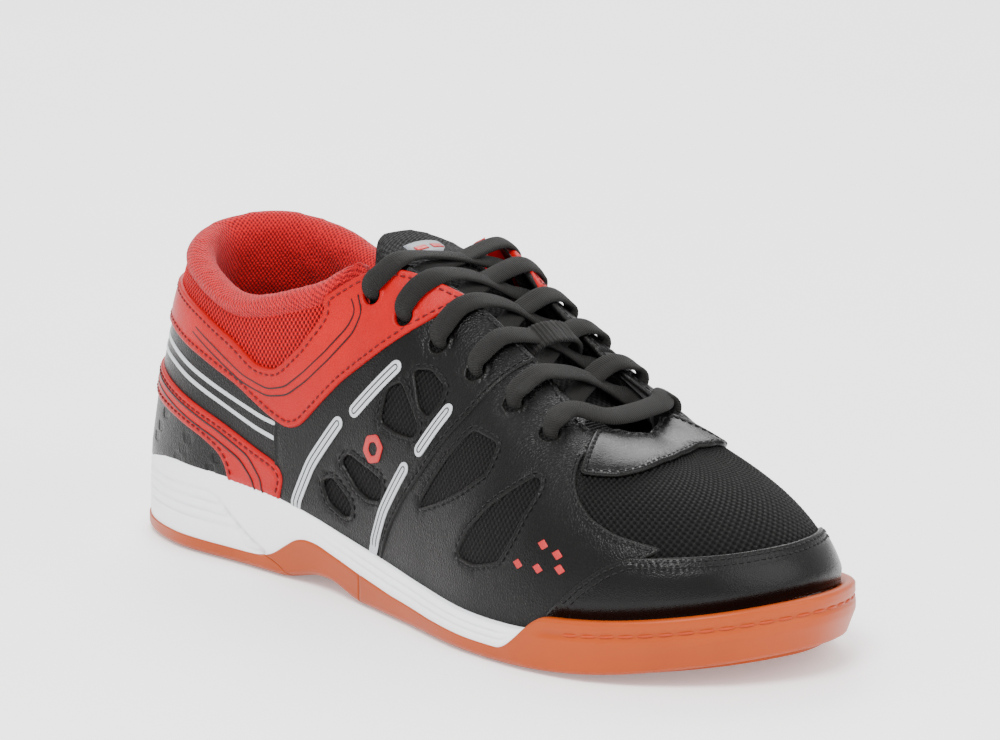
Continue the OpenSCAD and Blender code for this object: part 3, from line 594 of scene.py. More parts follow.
def new_finish(name, rough=0.5, gloss=0.5, sheen=0.0):
    """Node tree of a new material, its shader, and places on the object in metres."""
    material = bpy.data.materials.new(name)
    material.use_nodes = True
    materials[name] = material
    tree = material.node_tree
    shader = tree.nodes["Principled BSDF"]
    shader.inputs["Roughness"].default_value = rough
    shader.inputs["Specular IOR Level"].default_value = gloss
    shader.inputs["Sheen Weight"].default_value = sheen
    return tree, shader, add(tree, "ShaderNodeTexCoord").outputs["Object"]


def scaled(colour, share):
    return tuple(min(1, c * share) for c in colour)


def add(tree, kind, inputs=None, **settings):
    node = tree.nodes.new(kind)
    for key, value in settings.items():
        setattr(node, key, value)
    for key, value in (inputs or {}).items():
        if isinstance(value, bpy.types.NodeSocket):
            tree.links.new(value, node.inputs[key])
        else:
            node.inputs[key].default_value = value
    return node


def maths(tree, operation, a, b=0.0, c=0.0):
    return add(tree, "ShaderNodeMath", {0: a, 1: b, 2: c}, operation=operation).outputs[0]


def ramp(tree, factor, low, high, dark, light):
    """Colour that goes from dark to light while factor goes from low to high."""
    node = add(tree, "ShaderNodeMapRange", {"Value": factor, "From Min": low, "From Max": high})
    mix = add(tree, "ShaderNodeMix", {"Factor": node.outputs[0]}, data_type="RGBA")
    mix.inputs[6].default_value = (*dark, 1)
    mix.inputs[7].default_value = (*light, 1)
    return mix.outputs[2]


def blend_colour(tree, factor, first, second):
    mix = add(tree, "ShaderNodeMix", {"Factor": factor}, data_type="RGBA")
    for socket, value in ((mix.inputs[6], first), (mix.inputs[7], second)):
        if isinstance(value, tuple):
            socket.default_value = (*value, 1)
        else:
            tree.links.new(value, socket)
    return mix.outputs[2]


def noise(tree, where, scale, detail=2.0):
    return add(tree, "ShaderNodeTexNoise", {"Vector": where, "Scale": scale, "Detail": detail}).outputs["Fac"]


def bumped(tree, shader, height, strength, distance):
    bump = add(tree, "ShaderNodeBump", {"Height": height, "Strength": strength, "Distance": distance})
    tree.links.new(bump.outputs[0], shader.inputs["Normal"])


def leather(name, colour, edge_tone, rough, grain=900, depth=0.00022, strength=0.5, shine=0.3):
    """Pebbled leather: cells with painted shade in their creases, slow colour drift, and a band of another
    tone along each edge.

    grain is in cells per metre, depth in metres.
    """
    tree, shader, where = new_finish(name, gloss=shine)
    wobble = add(tree, "ShaderNodeTexNoise", {"Vector": where, "Scale": 700.0, "Detail": 2.0})
    bent = add(tree, "ShaderNodeVectorMath", {0: wobble.outputs["Color"], "Scale": 0.0009},
               operation="SCALE").outputs[0]
    moved = add(tree, "ShaderNodeVectorMath", {0: where, 1: bent}, operation="ADD").outputs[0]
    cells = add(tree, "ShaderNodeTexVoronoi", {"Vector": moved, "Scale": float(grain)},
                feature="DISTANCE_TO_EDGE").outputs["Distance"]
    crease = add(tree, "ShaderNodeMapRange", {"Value": cells, "From Min": 0.0, "From Max": 0.28}).outputs[0]
    slow = noise(tree, where, 45.0)
    fine = noise(tree, where, 3200.0)
    body = ramp(tree, slow, 0.3, 0.7, scaled(colour, 0.88), scaled(colour, 1.1))
    # Painted shade: the colour darkens to 0.72 of itself in the creases between the pebbles.
    crease_shade = maths(tree, "MULTIPLY", maths(tree, "SUBTRACT", 1.0, crease), 0.45)
    body = blend_colour(tree, crease_shade, body, scaled(colour, 0.72))
    edge = add(tree, "ShaderNodeAttribute", attribute_name="rim").outputs["Fac"]
    # Band of another tone along each edge: lighter on the black leathers, darker on the red.
    body = blend_colour(tree, maths(tree, "MULTIPLY", edge, 0.55), body, edge_tone)
    tree.links.new(body, shader.inputs["Base Color"])
    spread = maths(tree, "MULTIPLY_ADD", slow, 0.16, rough - 0.08)
    tree.links.new(maths(tree, "MULTIPLY_ADD", crease, -0.08, spread), shader.inputs["Roughness"])
    height = maths(tree, "MULTIPLY_ADD", fine, 0.22, crease)
    bumped(tree, shader, height, strength, depth)


def weave_axes(tree):
    split = add(tree, "ShaderNodeSeparateXYZ", {0: add(tree, "ShaderNodeUVMap", uv_map="weave").outputs[0]})
    return split.outputs[0], split.outputs[1]


def wave(tree, axis, pitch, phase=0.0):
    return maths(tree, "COSINE", maths(tree, "MULTIPLY_ADD", axis, TAU / pitch, phase))


def air_mesh(name, dark, light, pitch, rough=0.6):
    """Open knitted mesh: staggered loops with holes between them, in weave coordinates; the colour runs from
    dark, painted shade in the holes, to light, a painted highlight on the loop tops.
    """
    tree, shader, where = new_finish(name, rough, 0.12)
    x, y = weave_axes(tree)
    loops = maths(tree, "MULTIPLY", wave(tree, x, pitch[0]), wave(tree, y, pitch[1]))
    strands = maths(tree, "MULTIPLY", wave(tree, maths(tree, "ADD", x, y), pitch[0] / 4), 0.18)
    height = maths(tree, "ADD", loops, strands)
    fuzz = noise(tree, where, 1500.0)
    shown = maths(tree, "MULTIPLY_ADD", fuzz, 0.5, height)
    # Painted shade in the holes and painted highlight on the loop tops: the colour follows the loops' height.
    tree.links.new(ramp(tree, shown, -0.35, 0.95, dark, light), shader.inputs["Base Color"])
    bumped(tree, shader, maths(tree, "MULTIPLY_ADD", fuzz, 0.2, height), 0.8, 0.0004)


def knit(name, dark, light, pitch):
    """Fine knitted lining with small round holes in a hexagonal pattern; dark is painted shade in the holes.
    """
    tree, shader, where = new_finish(name, 0.8, 0.2, 0.08)
    x, y = weave_axes(tree)
    holes = maths(tree, "MULTIPLY", wave(tree, x, pitch), wave(tree, y, pitch * 1.5))
    fuzz = noise(tree, where, 1800.0)
    shown = maths(tree, "MULTIPLY_ADD", fuzz, 0.7, holes)
    # Painted shade: the colour goes to dark in the holes.
    tree.links.new(ramp(tree, shown, -0.5, 0.7, dark, light), shader.inputs["Base Color"])
    bumped(tree, shader, shown, 0.7, 0.00025)


def braid(name, colour, pitch):
    """Woven tape: slanted strands that change direction along the middle, with painted shade between the
    strands and a painted highlight on their crowns.
    """
    tree, shader, where = new_finish(name, 0.75, 0.2, 0.03)
    x, y = weave_axes(tree)
    slant = maths(tree, "ADD", x, maths(tree, "MULTIPLY", maths(tree, "ABSOLUTE", y), 0.9))
    strand = maths(tree, "MULTIPLY", wave(tree, slant, pitch), wave(tree, y, pitch))
    fuzz = noise(tree, where, 2200.0)
    shown = maths(tree, "MULTIPLY_ADD", fuzz, 0.8, strand)
    # Painted shade between the strands, down to 0.45 of the colour, and painted highlight on their crowns, up
    # to 2.3 of it.
    colours = ramp(tree, shown, -0.5, 1.3, scaled(colour, 0.45), scaled(colour, 2.3))
    tree.links.new(colours, shader.inputs["Base Color"])
    bumped(tree, shader, shown, 0.8, 0.0003)


def moulded(name, colour, rough, drift=0.1, grain=2400.0, depth=0.00005, subsurface=0.0):
    """Moulded rubber or foam: faint mottling and a fine mould texture."""
    tree, shader, where = new_finish(name, gloss=0.25)
    slow = noise(tree, where, 30.0, 3.0)
    fine = noise(tree, where, grain)
    mottled = ramp(tree, slow, 0.3, 0.7, scaled(colour, 1 - drift), scaled(colour, 1 + drift))
    tree.links.new(mottled, shader.inputs["Base Color"])
    tree.links.new(maths(tree, "MULTIPLY_ADD", fine, 0.14, rough - 0.07), shader.inputs["Roughness"])
    shader.inputs["Subsurface Weight"].default_value = subsurface
    shader.inputs["Subsurface Scale"].default_value = 0.002
    bumped(tree, shader, fine, 0.5, depth)


def printed(name, colour, rough, metal):
    """Printed or foiled film with a fine woven texture and painted shade in the furrows of the weave."""
    tree, shader, where = new_finish(name, rough)
    split = add(tree, "ShaderNodeSeparateXYZ", {0: where})
    across = maths(tree, "ADD", split.outputs[0], split.outputs[2])
    rib = maths(tree, "MULTIPLY", wave(tree, across, 0.0007), wave(tree, split.outputs[2], 0.0009))
    # Painted shade: the colour drops to 0.82 of itself where the weave lies low.
    tree.links.new(ramp(tree, rib, -1.0, 1.0, scaled(colour, 0.82), colour), shader.inputs["Base Color"])
    shader.inputs["Metallic"].default_value = metal
    bumped(tree, shader, rib, 0.5, 0.00008)


def make_materials():
    leather("black_leather", (0.0018, 0.0016, 0.0015), (0.0075, 0.007, 0.0065), 0.36, grain=1050,
            strength=0.32, shine=0.16)
    leather("cap_leather", (0.0018, 0.0016, 0.0015), (0.006, 0.0055, 0.005), 0.3, grain=1400,
            strength=0.16, shine=0.18)
    leather("red_leather", (0.4, 0.001, 0.0018), (0.27, 0.0008, 0.0012), 0.42, grain=1500,
            strength=0.25, shine=0.16)
    # Meshes: the first colour is painted shade in the holes, the second a painted highlight on the loops.
    air_mesh("black_mesh", (0.0002, 0.0002, 0.0002), (0.0075, 0.007, 0.0068), (1.9, 2.6))
    air_mesh("red_mesh", (0.07, 0.0, 0.001), (0.62, 0.003, 0.006), (1.8, 2.3), rough=0.45)
    air_mesh("tongue_mesh", (0.0002, 0.0002, 0.0002), (0.012, 0.0115, 0.011), (2.3, 2.6), rough=0.65)
    # Knits: the first colour is painted shade in the holes.
    knit("red_knit", (0.1, 0.0, 0.002), (0.48, 0.001, 0.005), 1.25)
    knit("black_lining", (0.002, 0.002, 0.002), (0.008, 0.008, 0.008), 1.2)
    braid("lace_braid", (0.0042, 0.0038, 0.0032), 0.66)
    braid("webbing", (0.007, 0.0065, 0.006), 0.8)
    moulded("gum_rubber", (0.31, 0.042, 0.0008), 0.42, 0.07, subsurface=0.02)
    moulded("white_foam", (0.9, 0.905, 0.93), 0.48, 0.015, subsurface=0.05)
    moulded("black_thread", (0.002, 0.002, 0.002), 0.6, 0.2)
    moulded("red_thread", (0.1, 0.001, 0.002), 0.55, 0.15)
    moulded("gum_thread", (0.33, 0.035, 0.004), 0.5, 0.12)
    moulded("black_ink", (0.003, 0.003, 0.003), 0.4, 0.1)
    moulded("plastic", (0.01, 0.01, 0.01), 0.3, 0.1)
    moulded("stiff_board", (0.5, 0.42, 0.3), 0.8, 0.15, grain=900.0, depth=0.0001)
    moulded("shank_steel", (0.42, 0.43, 0.44), 0.35, 0.1)
    printed("silver_print", (0.5, 0.53, 0.55), 0.34, 0.15)
    printed("red_print", (0.42, 0.003, 0.004), 0.4, 0.1)
    printed("label_print", (0.22, 0.23, 0.25), 0.5, 0.1)


# CAD solids that stay, and their materials
CAD_FINISH = {
    "shank": "shank_steel", "insole_board": "stiff_board", "sockliner": "black_lining",
    "toe_puff": "stiff_board", "heel_counter": "stiff_board", "heel_backing": "black_lining",
    "vamp_lining": "black_lining", "side_lining_lateral": "black_lining",
    "side_lining_medial": "black_lining", "aglets": "plastic",
}


def finish_cad_nodes():
    for name, material in CAD_FINISH.items():
        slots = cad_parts[name].data.materials
        slots.clear()
        slots.append(materials[material])


# ---------------------------------------------------------------- upper


# Side-view outlines of the panels that lie partly under others
BAND = [(-139, 78), (-116, 76), (-95, 71), (-70, 62), (-50, 56), (-46, 46), (-54, 10), (-90, 10), (-139, 40)]
HEEL_PIECE = [(-139, 52), (-122, 50), (-100, 46), (-78, 38), (-74, 10), (-139, 10)]
SADDLE_BACK = [(-58, 5), (-58, 50), (-48, 58), (-34, 72), (-14, 90), (0, 101), (10, 112)]
QUARTER_BACK = [(-10, 5), (-6, 27), (10, 52), (26, 74), (46, 110)]
# Small shapes, as steps in x and z from their centre
PRICK = [(-1.2, -1.5), (1.8, -1.2), (1.2, 1.5), (-1.8, 1.2)]
DIAMOND = [(-2.1, 0.2), (0.2, -1.6), (2.1, -0.2), (-0.2, 1.6)]
# How far each panel's seam row lies from its edge
RED_SEAM, LOW_SEAM, SADDLE_ROW, QUARTER_ROW = 2.1, 1.9, 1.9, 1.7
SADDLE_THREAD_X = -42  # the saddle's stitches end here, before the red pieces


def hexagon(radius):
    return [BADGE_AT + radius * np.array([math.cos(a), math.sin(a)]) for a in np.arange(6) * TAU / 6 + 0.26]


def make_side(label, side):
    """All panels of one side of the shoe."""

    def outline(points, rounds=8, step=1.1):
        return closed_on_last(points, side, rounds, step)

    def small(shape, places):
        return [outline([(x + dx, z + dz) for dx, dz in shape], 0, 0.6) for x, z in places]

    def bands(lines, width, step):
        return [outline(bar_outline(line, width), 0, step) for line in lines]

    def add_panel(part, loops, low, high, material, maker=panel, **more):
        maker(f"{part}_{label}", loops, low, high, material, [f"{part}_{label}"], material, **more)

    def trim(part, *args, **more):
        ribbon(f"{part}_{label}", *args, "black_ink", slot="black_leather", **more)

    holes = [ring_on_last(place, EYELET_R)[::-1] for place in EYELETS[side]]
    red = outline(COLLAR_EDGE + [(20, 122)] + RED_FRONT + RED_UNDER[1:])
    low = outline(LOW_OVER + LOW_FRONT + LOW_UNDER[::-1])
    saddle = outline(SADDLE_SEAM + SADDLE_BACK)
    front = outline(QUARTER_BACK + QUARTER_FRONT)
    vents = [outline(v, 3, 0.9)[::-1] for v in VENTS]
    windows = [outline(w, 5, 0.9)[::-1] for w in WINDOWS]
    pricks = [loop[::-1] for loop in small(PRICK, PERFORATIONS)]
    red_holes, saddle_holes, front_holes = split_holes(holes, (red, saddle, front))

    add_panel("heel_band", [outline(BAND)], -0.3, 1.0, "black_leather")
    add_panel("heel_piece", [outline(HEEL_PIECE)] + pricks, -0.3, 1.15, "black_leather", edge=0.4,
              spacing=1.6)
    add_panel("front_quarter", [front] + windows + front_holes, -0.4, 0.95, "black_leather",
              rows=[QUARTER_ROW], bead=0.15)
    add_panel("saddle", [saddle] + vents + saddle_holes, -0.4, 1.35, "black_leather", rows=[SADDLE_ROW],
              bead=0.22)
    add_panel("low_stripe", [low], 0.2, 1.9, "red_leather", rows=[LOW_SEAM])
    add_panel("red_quarter", [red] + red_holes, -0.3, 2.0, "red_leather", rows=[RED_SEAM], bead=0.18)

    red_rows = stitch_runs([red], RED_SEAM, 1.9, above_sole) + stitch_runs([low], LOW_SEAM, 1.8, above_sole)
    thread(f"red_stitches_{label}", red_rows, "red_thread")
    black_rows = stitch_runs([saddle] + vents, SADDLE_ROW, 1.25, lambda u, v: (
        above_sole(u, v) & ~covered(u, v, red) & (upper(u, v)[:, 0] > SADDLE_THREAD_X)))
    black_rows += stitch_runs([front] + windows, QUARTER_ROW, 0.85, above_sole)
    thread(f"black_stitches_{label}", black_rows, "black_thread", pitch=2.5, length=1.9)

    add_panel("band_stripes", bands(BAND_STRIPES, 1.5, 0.8), 0.9, 1.2, "silver_print", joined_panels)
    add_panel("saddle_bars", bands(BARS, 4.4, 0.9), 1.1, 1.75, "silver_print", joined_panels)
    trim("bar_lines", [np.vstack([line, line[:1]]) for line in bands(BARS, 1.7, 0.7)], 0.42, 1.5, 1.8)
    trim("pinstripes", [open_on_last(line, side) for line in RED_LINES + LOW_LINES], 0.5, 1.7, 2.06)
    add_panel("emblem", [outline(hexagon(BADGE_R), 1, 0.7)], 1.1, 1.7, "red_print", joined_panels,
              holes=[outline(hexagon(BADGE_HOLE_R), 1, 0.6)[::-1]])
    add_panel("diamonds", small(DIAMOND, DIAMONDS), 0.7, 1.15, "red_print", joined_panels)


def split_holes(holes, panels):
    """The eyelets that each panel goes round or stands over."""
    return [[h for h in holes if inside(h * STEP_SIZE, p * STEP_SIZE).all()] for p in panels]


def covered(u, v, loop):
    """Which places a panel covers."""
    return inside(np.stack([u, v], -1) * STEP_SIZE, loop * STEP_SIZE)


def joined_panels(name, loops, low, high, material, nodes, slot, holes=()):
    """Several small raised shapes as one piece."""
    made = [panel(f"{name}_{i}" if i else name, [loop] + list(holes), low, high, material, (), None,
                  edge=0.2, spacing=1.2) for i, loop in enumerate(loops)]
    bpy.ops.object.select_all(action="DESELECT")
    for obj in made:
        obj.select_set(True)
    bpy.context.view_layer.objects.active = made[0]
    bpy.ops.object.join()
    finish_piece(made[0], "shoe", nodes)
    return made[0]


SHEET_T = 0.5


def weave_sheet(name, u_span, rows, size, pitch, lift, material, nodes, rough=0.22):
    """Fine sheet over the last with the loops of an open mesh standing out of it."""
    us = np.linspace(*u_span, size[0])
    vs = np.linspace(*rows, size[1])
    u, v = np.meshgrid(us, vs, indexing="ij")
    points = upper(u, v)
    long_way = np.cumsum(np.linalg.norm(np.diff(points, axis=0, prepend=points[:1]), axis=2), 0)
    long_way = np.repeat(long_way[:, size[1] // 2:size[1] // 2 + 1], size[1], 1)
    high_way = np.cumsum(np.linalg.norm(np.diff(points, axis=1, prepend=points[:, :1]), axis=2), 1)
    weave = np.stack([long_way, high_way], -1).reshape(-1, 2)
    loops = np.cos(TAU * weave[:, 0] / pitch[0]) * np.cos(TAU * weave[:, 1] / pitch[1])
    out = normal(u, v).reshape(-1, 3)
    top = points.reshape(-1, 3) + out * (lift + rough * loops)[:, None]
    bottom = points.reshape(-1, 3) + out * (lift - SHEET_T)
    return piece(name, np.vstack([top, bottom]), two_layers(*size), material, "shoe", nodes,
                 np.vstack([weave, weave]))


def make_toe():
    foot = [(13, -0.03), (7.95, -0.03)]
    cap = loop_on_last(CAP_CROWN + foot, 4)
    panel("toe_cap", [cap], -0.2, 1.85, "cap_leather", ["toe_cap"], "black_leather", rows=[1.5, 3.3])
    runs = stitch_runs([cap], 1.5, 1.75, above_sole) + stitch_runs([cap], 3.3, 1.75, above_sole)
    throat = loop_on_last(SADDLE_LOW + SADDLE_TOP, 4)
    panel("throat_saddle", [throat], -0.2, 2.0, "cap_leather", ["throat_saddle"], "black_leather", rows=[1.7],
          bead=0.2)
    runs += stitch_runs([throat], 1.7, 1.9, above_sole)
    thread("toe_stitches", runs, "black_thread", pitch=2.4, length=1.8)


# ---------------------------------------------------------------- soft pieces


def puffed(name, loops, voxel, pressure, cap):
    """Closed form from a row of closed sections, remeshed and blown up a little as stuffed cloth."""
    mesh = bpy.data.meshes.new(name)
    mesh.from_pydata((loops.reshape(-1, 3) * MM).tolist(), [], tube_faces(*loops.shape[:2]))
    obj = bpy.data.objects.new(name, mesh)
    bpy.context.collection.objects.link(obj)
    bpy.context.view_layer.objects.active = obj
    remesh = obj.modifiers.new("remesh", "REMESH")
    remesh.mode = "VOXEL"
    remesh.voxel_size = voxel * MM
    apply_modifiers(obj)
    blow_up(obj, pressure, cap * MM)
    subdivide = obj.modifiers.new("subdivide", "SUBSURF")
    subdivide.levels = 1
    apply_modifiers(obj)
    obj.data.polygons.foreach_set("use_smooth", [True] * len(obj.data.polygons))
    return obj


def apply_modifiers(obj):
    shown = obj.evaluated_get(bpy.context.evaluated_depsgraph_get())
    mesh = bpy.data.meshes.new_from_object(shown)
    obj.modifiers.clear()
    obj.data = mesh


BLOW_FRAMES = 20


def blow_up(obj, pressure, cap):
    """Cloth simulation with inner pressure; no point moves further than cap."""
    rest = coordinates(obj.data)
    cloth = obj.modifiers.new("cloth", "CLOTH")
    settings = cloth.settings
    settings.quality = 5
    settings.mass = 0.2
    settings.tension_stiffness = 12
    settings.compression_stiffness = 12
    settings.bending_stiffness = 0.6
    settings.use_pressure = True
    settings.uniform_pressure_force = pressure
    settings.effector_weights.gravity = 0
    scene = bpy.context.scene
    for number in range(1, BLOW_FRAMES + 1):
        scene.frame_set(number)
    shown = obj.evaluated_get(bpy.context.evaluated_depsgraph_get())
    move = coordinates(shown.data) - rest
    far = np.linalg.norm(move, axis=1, keepdims=True)
    move *= np.minimum(1, cap / np.maximum(far, 1e-9))
    obj.modifiers.clear()
    scene.frame_set(1)
    obj.data.vertices.foreach_set("co", (rest + move).astype(np.float32).ravel())
    obj.data.update()


def coordinates(mesh):
    out = np.zeros(len(mesh.vertices) * 3, np.float32)
    mesh.vertices.foreach_get("co", out)
    return out.reshape(-1, 3).astype(float)


def map_weave(obj, samples, weave):
    """Gives each corner the weave place of the nearest sample point."""
    tree = kdtree.KDTree(len(samples))
    for i, p in enumerate(samples):
        tree.insert(p * MM, i)
    tree.balance()
    found = [sorted((d, k) for _, k, d in tree.find_n(p, 3)) for p in coordinates(obj.data)]
    places = np.array([np.average([weave[k] for _, k in f], axis=0, weights=[1 / (d + 1e-6) for d, _ in f])
                       for f in found])
    corner = np.zeros(len(obj.data.loops), int)
    obj.data.loops.foreach_get("vertex_index", corner)
    obj.data.uv_layers.new(name="weave").data.foreach_set("uv", places[corner].ravel())


def collar_sections():
    """Cross-sections of the padded collar, from the inner throat end round the heel to the outer one."""
    us = np.linspace(16.25, 25.75, 160)
    turn = np.where(us > STATIONS, us - STATIONS, STATIONS - us)
    full = 1 - 0.62 * smooth((turn - 3.3) / 1.3)
    tall = 1 - top_row(us % STATIONS)
    shape = [(0.02, -2.6, 0), (0.2, -2.8, 0.2), (0.4, -3, 0.6), (0.55, -3.3, 2.4), (0.7, -3.6, 4.6),
             (0.8, -3.6, 5.2), (0.88, -3.4, 5.2), (0.94, -2.9, 4.6), (0.975, -2, 3.4), (0.995, -1.2, 2.0),
             (1.0, -0.6, 0.6), (0.99, 0.4, 0.0), (0.965, 1.3, -0.3), (0.935, 1.9, -0.4), (0.91, 1.9, -0.3),
             (0.892, 1.2, 0), (0.885, 0.2, 0), (0.87, -0.9, 0), (0.7, -1.3, 0), (0.5, -1.5, 0),
             (0.2, -1.8, 0), (0.02, -2.0, 0)]
    sections = []
    for u, f, t in zip(us, full, tall):
        v = np.array([1 - (1 - row) * (t / 0.1) if row > 0.88 else row * (1 - t * 1.2) / 0.88
                      for row, _, _ in shape])
        d = np.array([depth - extra * f for _, depth, extra in shape])
        sections.append(raised(np.full(len(v), u % STATIONS), v, d))
    return np.array(sections)


def make_collar():
    sections = collar_sections()
    pad = puffed("collar_pad", sections, 1.8, 3.0, 0.8)
    pad.data.materials.append(materials["red_knit"])
    run = np.cumsum(np.linalg.norm(np.diff(sections[:, 7], axis=0, prepend=sections[:1, 7]), axis=1))
    fine = np.stack([resample(s, 1.2, True)[:110] for s in sections])
    around_way = np.arange(fine.shape[1]) * 1.2
    weave = np.stack(np.broadcast_arrays(run[:, None], around_way[None]), -1).reshape(-1, 2)
    map_weave(pad, fine.reshape(-1, 3), weave)
    finish_piece(pad, "shoe", ["collar_lining", "collar_foam"])


TONGUE_SIDE_ROWS = [0.74, 0.84, 0.93]
TONGUE_DROP = 8.6  # how far under the last's surface its face lies


def tongue_line(w, depth):
    """Line across the tongue, a depth under its face; w runs from its sewn base to its top."""
    run = min(1, w / 0.8)
    ua, ub = 8.15 - 3.3 * run, 12.85 + 3.3 * run
    settle = smooth(min(1, w / 0.09))
    drop = -(-2.0 * (settle - 1) + TONGUE_DROP * settle) - depth
    left = [raised(ua, v, drop) for v in TONGUE_SIDE_ROWS]
    right = [raised(ub, v, drop) for v in TONGUE_SIDE_ROWS]
    edge_a, edge_b = raised(ua, 1.0, drop), raised(ub, 1.0, drop)
    crown = (edge_a + edge_b) / 2 + [0, 0, 2]
    bridge = [(edge_a + crown) / 2 + [0, 0, 0.8], crown, (edge_b + crown) / 2 + [0, 0, 0.8]]
    line = np.array(left + [edge_a] + bridge + [edge_b] + right[::-1])
    end = max(0, w - 0.84) / 0.16
    line = crown + (line - crown) * (1 - 0.5 * end**2)
    return line + np.array([-14, 0, 5]) * end


def tongue_grid(depth, count_w=70, count_s=60):
    lines = []
    for w in np.linspace(0, 1, count_w):
        line = tongue_line(w, depth)
        lines.append(soften(spread(line, count_s), 3, False))
    return np.array(lines)


def spread(line, count):
    """Smooth open curve through the points, with count points."""
    padded_line = np.vstack([2 * line[0] - line[1], line, 2 * line[-1] - line[-2]])
    at = np.linspace(0, len(line) - 1.001, count)
    i = at.astype(int)
    return spline([padded_line[i + k] for k in range(4)], (at - i)[:, None])


def make_tongue():
    face, back = tongue_grid(0.6), tongue_grid(5.0)
    sections = np.concatenate([face, back[:, ::-1]], axis=1)
    pad = puffed("tongue_pad", sections, 1.7, 3.0, 0.9)
    pad.data.materials.append(materials["tongue_mesh"])
    run = np.cumsum(np.linalg.norm(np.diff(face[:, 30], axis=0, prepend=face[:1, 30]), axis=1))
    across = np.cumsum(np.linalg.norm(np.diff(face, axis=1, prepend=face[:, :1]), axis=2), 1)
    weave = np.stack(np.broadcast_arrays(across, run[:, None]), -1)
    samples = np.concatenate([face.reshape(-1, 3), back.reshape(-1, 3)])
    map_weave(pad, samples, np.concatenate([weave.reshape(-1, 2)] * 2))
    finish_piece(pad, "tongue", ["tongue_mesh", "tongue_foam", "tongue_lining"])
    make_label(face)
    make_keeper(face)


def local_frame(grid, row, column):
    """Centre and the three directions of a grid of points: across, along and out."""
    across = unit(grid[row, column + 3] - grid[row, column - 3])
    along = unit(grid[row + 2, column] - grid[row - 2, column])
    out = unit(np.cross(across, along))
    if out[2] < 0:
        out = -out
    return grid[row, column], across, unit(np.cross(out, across)), out


LABEL_CURL = 0.02  # how fast the label bends down away from its middle line


def make_label(face):
    """Small grey tab near the top of the tongue with two plain red marks."""
    centre, across, along, out = local_frame(face, 57, 30)
    verts, faces = [], []

    def slab(x0, x1, y0, y1, z0, z1):
        grid = 9, 5
        faces.extend([[k + len(verts) for k in face] for face in two_layers(*grid)])
        for top in (z1, z0):
            for x in np.linspace(x0, x1, grid[0]):
                for y in np.linspace(y0, y1, grid[1]):
                    verts.append(centre + across * x + along * y + out * (top - LABEL_CURL * x * x))

    slab(-7.5, 7.5, -4, 4, 0.5, 1.4)
    piece("tongue_label", verts, faces, "label_print", "tongue", ["tongue_label"])
    verts, faces = [], []
    slab(-5.5, -1, -1.2, 1.2, 1.3, 1.6)
    slab(1, 5.5, -1.2, 1.2, 1.3, 1.6)
    piece("label_marks", verts, faces, "red_print", "tongue", ())


KEEPER_ROW = 23  # row of the tongue's grid that it stands on
KEEPER_SPAN, KEEPER_RISE, KEEPER_W, KEEPER_T, KEEPER_RIB = 11.5, 12.4, 9.0, 1.1, 0.22


def make_keeper(face):
    """Ribbed webbing bridge over the lace crossing."""
    centre, across, along, out = local_frame(face, KEEPER_ROW, 30)
    turns = np.linspace(0, math.pi, 90)
    rows = np.linspace(-0.5, 0.5, 9)
    verts = []
    for layer in (0.0, -KEEPER_T):
        for i, a in enumerate(turns):
            rib = KEEPER_RIB * math.cos(i * TAU / 4) if layer == 0 else 0
            flat = abs(math.cos(a)) ** 0.8 * math.copysign(1, math.cos(a))
            for r in rows:
                x = (KEEPER_SPAN + layer + rib) * flat
                z = (KEEPER_RISE + layer + rib) * math.sin(a) ** 0.75
                verts.append(centre + across * x + along * r * KEEPER_W + out * (z - 1.2))
    uv = np.array([(i * 0.5, r * 8) for _ in range(2) for i in range(len(turns)) for r in rows])
    piece("lace_keeper", verts, two_layers(len(turns), len(rows)), "webbing", "tongue", ["lace_keeper"],
          uv)


# ---------------------------------------------------------------- lace

LACE_W = 7.3
LACE_T = 2.1
LACE_OVER = 2.1 + LACE_T / 2  # over the leather
LACE_UNDER = -0.9 - LACE_T / 2 - 0.9  # under the lining
LACE_SLANT = 0.24  # how many stations a lace leans towards the toe on its way over the throat edge


def lace_point(place, v, d, snug=0.0):
    """Point of the lace with the direction its width lies in and how closely it is gathered (0 to 1)."""
    u = place[0]
    toeward = unit(upper(u + 0.02, v) - upper(u - 0.02, v)) * (1 if u < STATIONS / 2 else -1)
    return np.concatenate([raised(u, v, d), toeward, [snug]])


def crossing(a, b, level):
    middle = (lace_point(a, 1.0, 0.0) + lace_point(b, 1.0, 0.0)) / 2
    middle[2] += level * (LACE_T + 0.5) - 3.0
    return middle


def lace_pass(a, b, level):
    """Down through eyelet a, out from under the throat edge, across, and over to eyelet b."""
    toeward = LACE_SLANT if b[0] < STATIONS / 2 else -LACE_SLANT
    near, edge = (b[0] + toeward * 0.45, b[1]), (b[0] + toeward, b[1])
    under = lace_point(a, 1.0, LACE_UNDER - 1.6) * 0.8 + crossing(a, b, 0) * 0.2
    over = lace_point(edge, 1.0, LACE_OVER - 0.9 + 0.4 * level) * 0.85 + crossing(a, b, level) * 0.15
    return [
        lace_point(a, a[1], 0.1, 1.0), lace_point(a, a[1] + 0.012, LACE_UNDER, 0.7),
        lace_point(a, 0.93, LACE_UNDER), under, crossing(a, b, level), over,
        lace_point(near, 0.91, LACE_OVER - 0.05), lace_point(b, b[1] + 0.04, LACE_OVER - 0.1),
        lace_point(b, b[1] + 0.01, LACE_OVER - 1.0, 0.8),
    ]


def lace_half(first_inner):
    points = []
    for k in range(5, 0, -1):
        from_inner = (k % 2 == 1) == first_inner
        if from_inner:
            points += lace_pass(EYELETS[INNER][k], EYELETS[OUTER][k - 1], 1)
        else:
            points += lace_pass(EYELETS[OUTER][k], EYELETS[INNER][k - 1], 0)
    return points


def lace_tail(e):
    rows = [(e[1], 0.1), (e[1] - 0.01, LACE_UNDER - 0.2), (0.7, LACE_UNDER), (0.62, LACE_UNDER - 1.2),
            (0.54, LACE_UNDER - 2), (0.46, LACE_UNDER - 2.4)]
    return [lace_point(e, v, d, 1.0 if d > 0 else 0.3) for v, d in rows]


